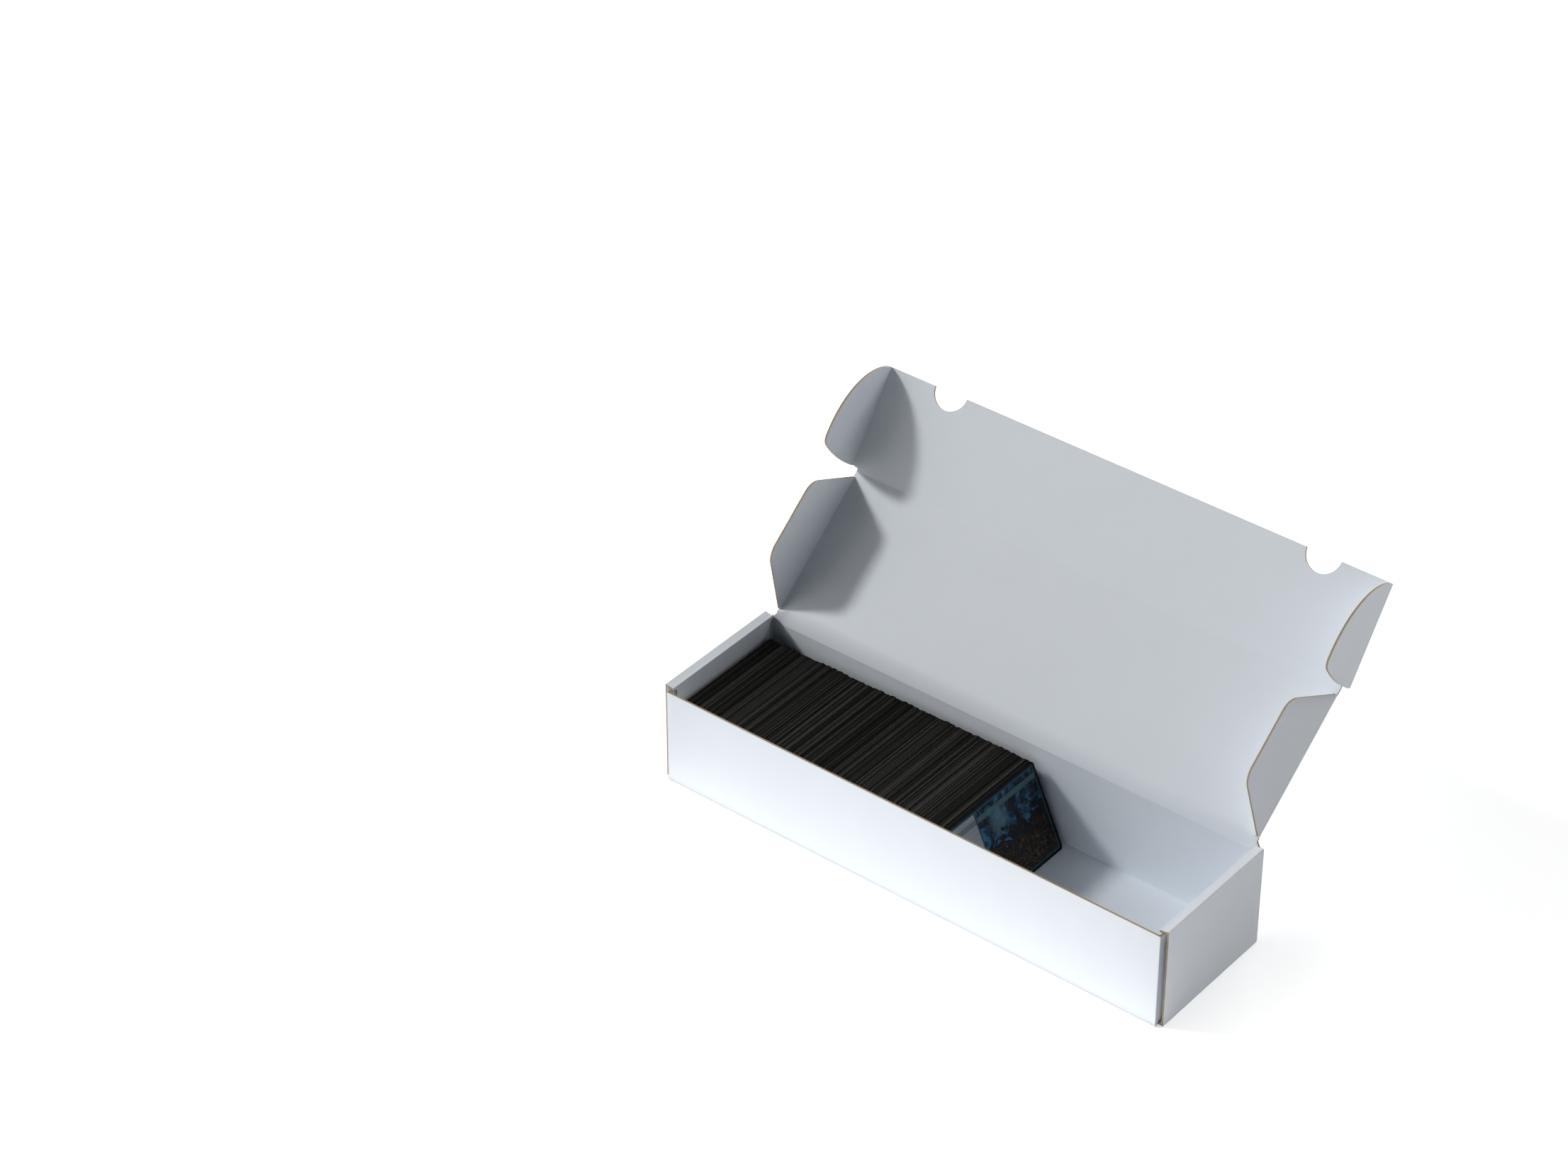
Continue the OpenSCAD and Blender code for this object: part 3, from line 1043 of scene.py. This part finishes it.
def make_row_tree(material):
    """The node tree that stands a row of cards: one card, repeated along a line with a small scatter."""
    tree = bpy.data.node_groups.new("Card row", "GeometryNodeTree")
    add_sockets(
        tree,
        "INPUT",
        ("Cards", "Int"),
        *[(name, "Float") for name in ("Pitch", "Card width", "Card height")],
        *[(name, "Float") for name in ("Thickness", "Corner radius", "Lean")],
        ("Start", "Vector"),
        ("Seed", "Int"),
    )
    add_sockets(tree, "OUTPUT", ("Geometry", "Geometry"))
    nodes = Nodes(tree)
    given = nodes.node("NodeGroupInput").outputs
    index = nodes.out("GeometryNodeInputIndex")

    # One card, upright, with its thickness along X
    size = {"Width": given["Card width"], "Height": given["Card height"]}
    outline = nodes.out("GeometryNodeCurvePrimitiveQuadrilateral", size)
    corner = {"Curve": outline, "Radius": given["Corner radius"], "Count": 3}
    outline = nodes.out("GeometryNodeFilletCurve", corner, mode="POLY")
    face = nodes.out("GeometryNodeFillCurve", {"Curve": outline}, mode="NGONS")
    depth = {"Mesh": face, "Offset Scale": given["Thickness"], "Individual": False}
    body = nodes.out("GeometryNodeExtrudeMesh", depth)
    back = nodes.out("GeometryNodeFlipFaces", {"Mesh": face})
    card = nodes.out("GeometryNodeJoinGeometry", {"Geometry": [body, back]})
    card = nodes.out("GeometryNodeMergeByDistance", {"Geometry": card, "Distance": 1e-6})
    lift = nodes.out("ShaderNodeCombineXYZ", {"Z": nodes.times(given["Card height"], 0.5)})
    upright = {"Geometry": card, "Translation": lift, "Rotation": (math.pi / 2, 0, math.pi / 2)}
    card = nodes.out("GeometryNodeTransform", upright)

    # The line of places
    step = nodes.out("ShaderNodeCombineXYZ", {"X": given["Pitch"]})
    places = {"Count": given["Cards"], "Start Location": given["Start"], "Offset": step}
    line = nodes.out("GeometryNodeMeshLine", places, mode="OFFSET")

    def random(low, high, offset, number=index):
        """A random number for each card or group of cards."""
        seed = nodes.plus(given["Seed"], offset)
        value = nodes.node("FunctionNodeRandomValue", {"ID": number, "Seed": seed}, data_type="FLOAT")
        floats = [socket for socket in value.inputs if socket.type == "VALUE"]
        nodes.feed(low, floats[0])
        nodes.feed(high, floats[1])
        return [socket for socket in value.outputs if socket.type == "VALUE"][0]

    def wave(pace, offset):
        """Noise along the row, from about -1 to 1."""
        inputs = {"W": nodes.plus(nodes.times(index, pace), offset), "Detail": 0, "Scale": 1}
        noise = nodes.out("ShaderNodeTexNoise", inputs, noise_dimensions="1D")
        return nodes.times(nodes.minus(noise, 0.5), 2)

    def at_least(share, least):
        """A share that runs from a least value to 1."""
        return nodes.scale_add(share, 1 - least, least)

    # Small groups of cards stand a little proud at the back, and every third card a little low
    bump = nodes.math("POWER", nodes.math("ABSOLUTE", wave(*BUMP_WAVE)), 0.5)
    crest = nodes.math("MINIMUM", nodes.times(bump, BUMP_GAIN), 1)
    sideways = nodes.plus(nodes.times(bump, BUMP_DEPTH), random(-SIDE_SCATTER, SIDE_SCATTER, 1))
    sideways = nodes.plus(sideways, nodes.scale_add(index, SHIFT_PER_CARD, ROW_SHIFT))
    group = nodes.math("FLOOR", nodes.math("DIVIDE", index, LOW_EVERY))
    proud = nodes.math("MINIMUM", nodes.minus(index, nodes.times(group, LOW_EVERY)), 1)
    rise = nodes.plus(nodes.times(proud, LOW_DROP), nodes.times(crest, BUMP_RISE))
    upwards = nodes.plus(random(*RISE_SCATTER, 2), rise)
    roll = random(-ROLL_SCATTER, ROLL_SCATTER, 3)
    along = nodes.times(nodes.times(upwards, nodes.math("SINE", given["Lean"])), -1)
    up = nodes.times(upwards, nodes.math("COSINE", given["Lean"]))
    shift = nodes.out("ShaderNodeCombineXYZ", {"X": along, "Y": sideways, "Z": up})
    turn = nodes.out("ShaderNodeCombineXYZ", {"X": roll, "Y": nodes.times(given["Lean"], -1)})
    line = nodes.out("GeometryNodeSetPosition", {"Geometry": line, "Offset": shift})

    # Each card keeps its own tone, partly painted highlight, with painted shade where it stands low or
    # between bumps
    tone = nodes.math("POWER", random(0, 1, 5, group), TONE_CURVE)
    tone = nodes.scale_add(tone, TONE_GAIN, TONE_START)
    for pace, offset, gain in TONE_WAVES:
        share = nodes.times(nodes.math("ABSOLUTE", wave(pace, offset)), gain)
        tone = nodes.times(tone, at_least(nodes.math("MINIMUM", share, 1), WAVE_LEAST))
    # Painted shade: a card that stands low, or one between the bumps, is darkened
    tone = nodes.times(tone, at_least(proud, LOW_CARD_SHADE))
    tone = nodes.times(tone, at_least(crest, BETWEEN_BUMPS_SHADE))
    tone = nodes.times(tone, random(*TONE_SCATTER, 4))

    # The cards themselves
    stand = {"Points": line, "Instance": card, "Rotation": turn}
    cards = nodes.out("GeometryNodeInstanceOnPoints", stand)
    keep = {"Geometry": cards, "Name": "tone", "Value": tone}
    cards = nodes.out("GeometryNodeStoreNamedAttribute", keep, data_type="FLOAT", domain="INSTANCE")
    cards = nodes.out("GeometryNodeRealizeInstances", {"Geometry": cards})
    cards = nodes.out("GeometryNodeSetMaterial", {"Geometry": cards, "Material": material})
    nodes.node("NodeGroupOutput", {"Geometry": cards})
    return tree


def build_card_row(settings):
    """The row of leaning cards, as one mesh."""
    tree = make_row_tree(shared_material("Card edges"))
    mesh = bpy.data.meshes.new("card_row_points")
    source = add_object("card_row_source", mesh)
    modifier = source.modifiers.new("Row", "NODES")
    modifier.node_group = tree
    lean = settings.lean
    slot_width = settings.thickness / math.cos(lean)
    free = (ROW_LENGTH - ROW_SPARE) * MM - slot_width
    values = {
        "Cards": settings.count,
        "Pitch": free / settings.count,
        "Card width": settings.width,
        "Card height": settings.height,
        "Thickness": settings.thickness,
        "Corner radius": settings.corner_radius,
        "Lean": lean,
        "Start": (ROW_START_X * MM, CARD_FRONT_Y * MM + settings.width / 2, CARD_FLOOR * MM),
        "Seed": settings.seed,
    }
    for item in tree.interface.items_tree:
        if item.name in values:
            modifier[item.identifier] = values[item.name]
    depsgraph = bpy.context.evaluated_depsgraph_get()
    made = bpy.data.meshes.new_from_object(source.evaluated_get(depsgraph), depsgraph=depsgraph)
    source.modifiers.remove(modifier)
    bpy.data.objects.remove(source)
    bpy.data.meshes.remove(mesh)
    made.name = "card_stack"
    made.shade_flat()
    piece = add_object("card_stack", made)
    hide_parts("card_row")
    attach(piece, "cards")


def build_face_card(settings):
    """The last card, whose printed face shows."""
    lean = settings.lean
    width = settings.width / MM
    height = settings.height / MM
    thickness = settings.thickness / MM
    radius = settings.corner_radius / MM
    up = Vector((-math.sin(lean), 0, math.cos(lean)))
    out = Vector((math.cos(lean), 0, math.sin(lean)))
    foot = Vector((ROW_START_X + ROW_LENGTH, CARD_FRONT_Y, CARD_FLOOR)) + up * FACE_LIFT
    corners = [(0, 0), (width, 0), (width, height), (0, height)]
    outline = rounded(corners, [radius] * 4, CARD_ARC_STEPS)
    bm = bmesh.new()
    uv = bm.loops.layers.uv.new("face")
    layers = []
    for depth, inset in ((0, CARD_RIM), (CARD_RIM, 0), (thickness - CARD_RIM, 0), (thickness, CARD_RIM)):
        row = []
        for p in outline:
            x = p.x * (1 - 2 * inset / width) + inset
            z = p.y * (1 - 2 * inset / height) + inset
            row.append(bm.verts.new(foot + Vector((0, x, 0)) + up * z - out * depth))
        layers.append(row)
    count = len(outline)
    for first, second in zip(layers, layers[1:]):
        for k in range(count):
            n = (k + 1) % count
            bm.faces.new((first[k], first[n], second[n], second[k]))
    front = bm.faces.new(list(reversed(layers[0])))
    bm.faces.new(layers[-1])
    place = {v: p for v, p in zip(layers[0], outline)}
    for loop in front.loops:
        p = place[loop.vert]
        loop[uv].uv = (p.x / width, p.y / height)
    front.material_index = 1
    piece = finish_mesh(bm, "printed_card", (shared_material("Card edges"), shared_material("Card face")))
    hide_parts("face_card")
    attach(piece, "cards")


# Materials


class Look(Nodes):
    """A material with a Principled surface, and short calls for building it."""

    def __init__(self, name, roughness, shine):
        self.material = bpy.data.materials.new(name)
        self.material.use_nodes = True
        super().__init__(self.material.node_tree)
        self.surface = self.tree.nodes["Principled BSDF"]
        self.set("Roughness", roughness)
        self.set("Specular IOR Level", shine)

    def set(self, name, value):
        """Sets or links one input of the surface."""
        self.feed(value, self.surface.inputs[name])

    def place(self):
        """The place of a point on its object."""
        return self.node("ShaderNodeTexCoord").outputs["Object"]

    def paper(self, place, colour, values):
        """Colours the surface as paper, and gives the height of its fibres."""
        inputs = {"Vector": place, "Colour": colour}
        inputs.update(zip(("Cloud scale", "Fibre scale", "Amount"), values))
        group = self.node("ShaderNodeGroup", inputs, node_tree=paper_group())
        self.set("Base Color", group.outputs["Colour"])
        return group.outputs["Height"]

    def bump(self, height, distance, strength):
        """Feeds a height into the surface's normal."""
        inputs = {"Height": height, "Distance": distance, "Strength": strength}
        self.set("Normal", self.out("ShaderNodeBump", inputs))


def paper_group():
    """Shared paper surface: cloudy tone, fine fibres and their height."""
    name = "Paper surface"
    if name in bpy.data.node_groups:
        return bpy.data.node_groups[name]
    group = bpy.data.node_groups.new(name, "ShaderNodeTree")
    add_sockets(
        group,
        "INPUT",
        ("Vector", "Vector"),
        ("Colour", "Color", (0.8, 0.8, 0.8, 1)),
        ("Cloud scale", "Float", 40.0),
        ("Fibre scale", "Float", 1500.0),
        ("Amount", "Float", 0.03),
    )
    add_sockets(group, "OUTPUT", ("Colour", "Color"), ("Height", "Float"))
    nodes = Nodes(group)
    given = nodes.node("NodeGroupInput").outputs
    clouds = nodes.noise(given["Vector"], given["Cloud scale"], 3.0)
    fibres = nodes.noise(given["Vector"], given["Fibre scale"], 2.0, roughness=0.7)
    rise = nodes.times(nodes.minus(nodes.plus(clouds, fibres), 1.0), given["Amount"])
    level = nodes.plus(rise, 1.0)
    grey = nodes.out("ShaderNodeCombineColor", {0: level, 1: level, 2: level})
    colour = nodes.mix(1.0, given["Colour"], grey, "MULTIPLY")
    nodes.node("NodeGroupOutput", {"Colour": colour, "Height": fibres})
    return group


def scaled(colour, factor):
    """A colour made darker, or lighter up to white."""
    return tuple(min(part * factor, 1) for part in colour)


def liner_material(name):
    """The white paper of the board's faces."""
    look = Look(name, 0.5, 0.35)
    colour = tuple(bpy.context.scene.card_box.board.liner_colour)
    height = look.paper(look.place(), colour, LINER_PAPER)
    look.set("Roughness", look.scale_add(height, *LINER_ROUGHNESS))
    look.bump(height, *LINER_BUMP)
    return look.material


def core_material(name):
    """The brown cut core of the board: paper layers along the cut, with the faint waves of the flutes."""
    look = Look(name, 0.8, 0.2)
    colour = tuple(bpy.context.scene.card_box.board.core_colour)
    parts = look.parts(look.out("ShaderNodeUVMap", uv_map="edge"))
    wave = look.math("SINE", look.times(parts["X"], 2 * math.pi / FLUTE_PITCH))
    flute = look.step(look.distance(parts["Y"], look.scale_add(wave, FLUTE_SWING, 0.5)), *FLUTE_EDGE)
    liner = look.step(look.distance(parts["Y"], 0.5), *LINER_EDGE)
    dark = look.mix(flute, scaled(colour, 0.96), scaled(colour, 0.80))
    brown = look.mix(liner, dark, scaled(colour, 1.12))
    height = look.paper(look.place(), brown, CORE_PAPER)
    look.bump(look.plus(look.times(liner, 0.5), height), *CORE_BUMP)
    return look.material


def card_edge_material(name):
    """The dark edges of the cards, each card with its own tone, partly painted highlight and painted shade.
    """
    look = Look(name, 0.62, 0.02)
    colour = tuple(bpy.context.scene.card_box.cards.edge_colour)
    tone = look.node("ShaderNodeAttribute", attribute_name="tone").outputs["Fac"]
    base = look.mix(tone, scaled(colour, 0.05), colour)
    look.bump(look.paper(look.place(), base, EDGE_PAPER), *EDGE_BUMP)
    return look.material


def card_face_material(name):
    """The printed face: a dark border, a thin frame, a striped bar, and a sky over broken ground."""
    look = Look(name, 0.34, 0.12)
    settings = bpy.context.scene.card_box.cards
    colour = tuple(settings.face_colour)
    size = (settings.width / MM, settings.height / MM, 1.0)
    place = look.vector("MULTIPLY", look.out("ShaderNodeUVMap", uv_map="face"), size)
    parts = look.parts(place)
    across, up = parts["X"], parts["Y"]
    rims = [look.minus(whole / 2, look.distance(part, whole / 2)) for part, whole in zip((across, up), size)]
    rim = look.math("MINIMUM", *rims)

    # The picture: a cloudy sky with a round glow, a dark ragged ridge and warm broken ground below it
    radius = look.length(look.vector("SUBTRACT", place, GLOW_PLACE))
    cloud = look.noise(place, *CLOUDS)
    streak = look.noise(place, *STREAKS)
    ridge = look.scale_add(look.minus(cloud, 0.5), RIDGE_SWING, up)
    picture = look.mix(look.step(cloud, *SKY_EDGE), scaled(colour, 0.10), colour)
    layers = (
        (look.step(cloud, *CLOUD_EDGE), CLOUD_LIGHT),
        (look.times(look.step(streak, *STREAK_EDGE), 0.6), STREAK_LIGHT),
        (look.times(look.step(radius, *GLOW_EDGE), 0.50), GLOW_LIGHT),
        (look.step(ridge, *RIDGE_EDGE), RIDGE_DARK),
        (look.times(look.step(ridge, *GROUND_EDGE), look.step(streak, *STONE_EDGE)), GROUND_WARM),
    )
    for share, added in layers:
        picture = look.mix(share, picture, added)

    # A striped bar left of the picture, a ledge across both, a thin frame and the border
    stripes = look.step(look.math("SINE", look.times(up, STRIPE_PACE)), *STRIPE_EDGE)
    bar = look.mix(look.times(stripes, 0.35), BAR_PLAIN, BAR_STRIPE)
    printed = look.mix(look.math("LESS_THAN", across, BAR_X), picture, bar)
    ledge = look.step(look.distance(up, LEDGE_Y), *LEDGE_EDGE)
    printed = look.mix(look.times(ledge, 0.8), printed, LEDGE_LIGHT)
    border = look.step(rim, *BORDER_EDGE)
    frame_line = look.times(look.step(rim, *reversed(BORDER_EDGE)), look.step(rim, *FRAME_EDGE))
    divide = look.step(look.distance(across, BAR_X), *DIVIDE_EDGE)
    printed = look.mix(look.math("MAXIMUM", frame_line, divide), printed, FRAME_BLUE)
    printed = look.mix(border, printed, BORDER_DARK)
    height = look.paper(place, printed, FACE_PAPER)
    look.set("Roughness", look.scale_add(height, *FACE_ROUGHNESS))
    look.bump(height, *FACE_BUMP)
    return look.material


MATERIALS = {
    "White liner": liner_material,
    "Board core": core_material,
    "Card edges": card_edge_material,
    "Card face": card_face_material,
}


def shared_material(name):
    """The material of that name, which is made when it is first asked for."""
    return bpy.data.materials.get(name) or MATERIALS[name](name)


def board_materials():
    """Materials of every board piece: its faces and its cut edges."""
    return shared_material("White liner"), shared_material("Board core")


# Stage


def seen_directly(nodes):
    """1 where the camera, a reflection or clear material sees the surface, and 0 for its light elsewhere."""
    rays = nodes.node("ShaderNodeLightPath").outputs
    direct = nodes.math("MAXIMUM", rays["Is Camera Ray"], rays["Is Glossy Ray"])
    return nodes.math("MAXIMUM", direct, rays["Is Transmission Ray"])


def floor_material(colour, glow):
    """A pale floor, seen as white where it is lit, whose glow rises with distance from the tray as painted
    light, so that the object's shadow fades.
    """
    look = Look("Floor", 0.9, 0.1)
    place = look.place()
    look.paper(place, colour, FLOOR_PAPER)
    # Painted light: the glow rises away from the tray, so the shadow fades with distance
    beyond = look.vector("SUBTRACT", look.vector("ABSOLUTE", place), (END_X * MM, WALL_Y * MM, 0))
    distance = look.length(look.vector("MAXIMUM", beyond))
    share = look.math("MINIMUM", look.math("DIVIDE", distance, SHADOW_FADE), 1.0)
    level = look.scale_add(share, SHADOW_RISE, glow)
    look.set("Emission Color", (1, 1, 1))
    look.set("Emission Strength", look.times(seen_directly(look), level))
    return look.material


def make_world():
    """A world that is white where it is seen, and gives no light of its own."""
    world = bpy.data.worlds.new("Studio")
    world.use_nodes = True
    nodes = Nodes(world.node_tree)
    background = world.node_tree.nodes["Background"]
    nodes.feed((1, 1, 1), background.inputs["Color"])
    nodes.feed(seen_directly(nodes), background.inputs["Strength"])
    bpy.context.scene.world = world


def direction(azimuth, elevation):
    """Direction from the object towards a lamp or camera; azimuth 0 is in front and 90 to the right."""
    level = math.cos(elevation)
    return Vector((math.sin(azimuth) * level, -math.cos(azimuth) * level, math.sin(elevation)))


def add_far_lamp(name, azimuth, elevation, angle, strength):
    """A far soft lamp, given by its direction and its apparent size in degrees."""
    data = bpy.data.lights.new(name, "SUN")
    data.energy = strength
    data.angle = math.radians(angle)
    towards = direction(math.radians(azimuth), math.radians(elevation))
    add_object(name, data).rotation_euler = (-towards).to_track_quat("-Z", "Y").to_euler()


def add_table_lamp(name, place, size, energy):
    """A light panel that lies on the floor and shines up."""
    data = bpy.data.lights.new(name, "AREA")
    data.shape = "RECTANGLE"
    data.size, data.size_y = size
    data.energy = energy
    lamp = add_object(name, data)
    lamp.location = place
    lamp.rotation_euler = (math.pi, 0, 0)
    lamp.visible_camera = False


def make_camera():
    """The photograph's camera."""
    data = bpy.data.cameras.new("Camera")
    data.sensor_width = SENSOR_WIDTH
    data.lens = FOCAL_PIXELS / IMAGE_WIDTH * SENSOR_WIDTH
    data.clip_start, data.clip_end = CLIP_RANGE
    camera = add_object("Camera", data)
    back = direction(CAMERA_AZIMUTH, CAMERA_ELEVATION)
    turn = (-back).to_track_quat("-Z", "Y").to_matrix().to_4x4()
    camera.matrix_world = Matrix.Translation(CAMERA_PLACE) @ turn @ Matrix.Rotation(CAMERA_ROLL, 4, "Z")
    bpy.context.scene.camera = camera


# Far lamps: azimuth, elevation and apparent size in degrees, and strength
FAR_LAMPS = (
    ("key", -64, 38, 8, 1.460),
    ("front_fill", -45, 20, 60, 0.860),
    ("back_fill", 180, 20, 60, 1.650),
    ("right_back", 143, 32, 25, 0.700),
)

# Light panels on the floor: place, size and power
TABLE_LAMPS = (
    ("wide_panel", (0.0, -0.2800, 0.001), (0.50, 0.45), 0.330),
    ("near_panel", (0.0, -0.1125, 0.0004), (0.40, 0.12), 0.076),
)


def build_stage(settings):
    """The floor, the world, the lamps and the camera."""
    bpy.context.scene.view_settings.view_transform = "Standard"
    mesh = bpy.data.meshes.new("floor")
    bm = bmesh.new()
    bmesh.ops.create_grid(bm, x_segments=8, y_segments=8, size=FLOOR_SIZE)
    bmesh.ops.translate(bm, verts=bm.verts, vec=(0, 0, -FLOOR_DROP))
    bm.to_mesh(mesh)
    bm.free()
    floor = add_object("floor", mesh)
    mesh.materials.append(floor_material(tuple(settings.floor_colour), settings.floor_glow))
    make_world()
    for name, azimuth, elevation, angle, strength in FAR_LAMPS:
        add_far_lamp(name, azimuth, elevation, angle, strength * settings.lamp_level)
    for name, place, size, energy in TABLE_LAMPS:
        add_table_lamp(name, place, size, energy * settings.lamp_level)
    make_camera()


# Operators


class CARDBOX_OT_tray(bpy.types.Operator):
    """Build the tray: its floor and walls and both rolled ends"""

    bl_idname = "cardbox.tray"
    bl_label = "Tray"

    def execute(self, context):
        settings = context.scene.card_box.board
        build_floor_and_walls(settings)
        build_end(settings, -1, "left_end_roll")
        build_end(settings, 1, "right_end_roll")
        return {"FINISHED"}


class CARDBOX_OT_lid(bpy.types.Operator):
    """Build the lid and the bend that it turns on"""

    bl_idname = "cardbox.lid"
    bl_label = "Lid"

    def execute(self, context):
        settings = context.scene.card_box.board
        build_hinge(settings)
        build_lid_board(settings)
        return {"FINISHED"}


class CARDBOX_OT_side_flaps(bpy.types.Operator):
    """Build the lid's two side flaps"""

    bl_idname = "cardbox.side_flaps"
    bl_label = "Side Flaps"

    def execute(self, context):
        settings = context.scene.card_box.board
        build_side_flap(settings, -1, LEFT_FLAP_FOLD, "left_flap_board")
        build_side_flap(settings, 1, RIGHT_FLAP_FOLD, "right_flap_board")
        return {"FINISHED"}


class CARDBOX_OT_tuck_panel(bpy.types.Operator):
    """Build the tuck panel and the lid's front crease"""

    bl_idname = "cardbox.tuck_panel"
    bl_label = "Tuck Panel"

    def execute(self, context):
        build_tuck_panel(context.scene.card_box.board)
        return {"FINISHED"}


class CARDBOX_OT_ears(bpy.types.Operator):
    """Build the tuck panel's two ears"""

    bl_idname = "cardbox.ears"
    bl_label = "Ears"

    def execute(self, context):
        settings = context.scene.card_box.board
        build_ear(settings, -1, "left_ear_board")
        build_ear(settings, 1, "right_ear_board")
        return {"FINISHED"}


class CARDBOX_OT_card_row(bpy.types.Operator):
    """Stand the row of cards in the tray"""

    bl_idname = "cardbox.card_row"
    bl_label = "Card Row"

    def execute(self, context):
        build_card_row(context.scene.card_box.cards)
        return {"FINISHED"}


class CARDBOX_OT_printed_card(bpy.types.Operator):
    """Add the last card, whose printed face shows"""

    bl_idname = "cardbox.printed_card"
    bl_label = "Printed Card"

    def execute(self, context):
        build_face_card(context.scene.card_box.cards)
        return {"FINISHED"}


class CARDBOX_OT_stage(bpy.types.Operator):
    """Add the floor, the lamps and the camera"""

    bl_idname = "cardbox.stage"
    bl_label = "Stage"

    def execute(self, context):
        build_stage(context.scene.card_box.stage)
        return {"FINISHED"}


OPERATORS = (
    CARDBOX_OT_stage,
    CARDBOX_OT_tray,
    CARDBOX_OT_lid,
    CARDBOX_OT_side_flaps,
    CARDBOX_OT_tuck_panel,
    CARDBOX_OT_ears,
    CARDBOX_OT_card_row,
    CARDBOX_OT_printed_card,
)


class CARDBOX_PT_panel(bpy.types.Panel):
    """Lists the pieces of the card box and their settings"""

    bl_idname = "CARDBOX_PT_panel"
    bl_label = "Card Box"
    bl_space_type = "VIEW_3D"
    bl_region_type = "UI"
    bl_category = "Card Box"

    def draw(self, context):
        layout = self.layout
        settings = context.scene.card_box
        for group in (settings.board, settings.cards, settings.stage):
            box = layout.box()
            for name in group.bl_rna.properties.keys():
                if name not in ("rna_type", "name"):
                    box.prop(group, name)
        for operator in OPERATORS:
            layout.operator(operator.bl_idname)


CLASSES = (BoardSettings, CardSettings, StageSettings, CardBoxSettings, *OPERATORS, CARDBOX_PT_panel)


def register():
    for item in CLASSES:
        bpy.utils.register_class(item)
    bpy.types.Scene.card_box = bpy.props.PointerProperty(type=CardBoxSettings)


def unregister():
    del bpy.types.Scene.card_box
    for item in reversed(CLASSES):
        bpy.utils.unregister_class(item)


def main():
    """Builds every piece."""
    register()
    bpy.ops.cardbox.stage()
    bpy.ops.cardbox.tray()
    bpy.ops.cardbox.lid()
    bpy.ops.cardbox.side_flaps()
    bpy.ops.cardbox.tuck_panel()
    bpy.ops.cardbox.ears()
    bpy.ops.cardbox.card_row()
    bpy.ops.cardbox.printed_card()


if __name__ == "__main__":
    main()
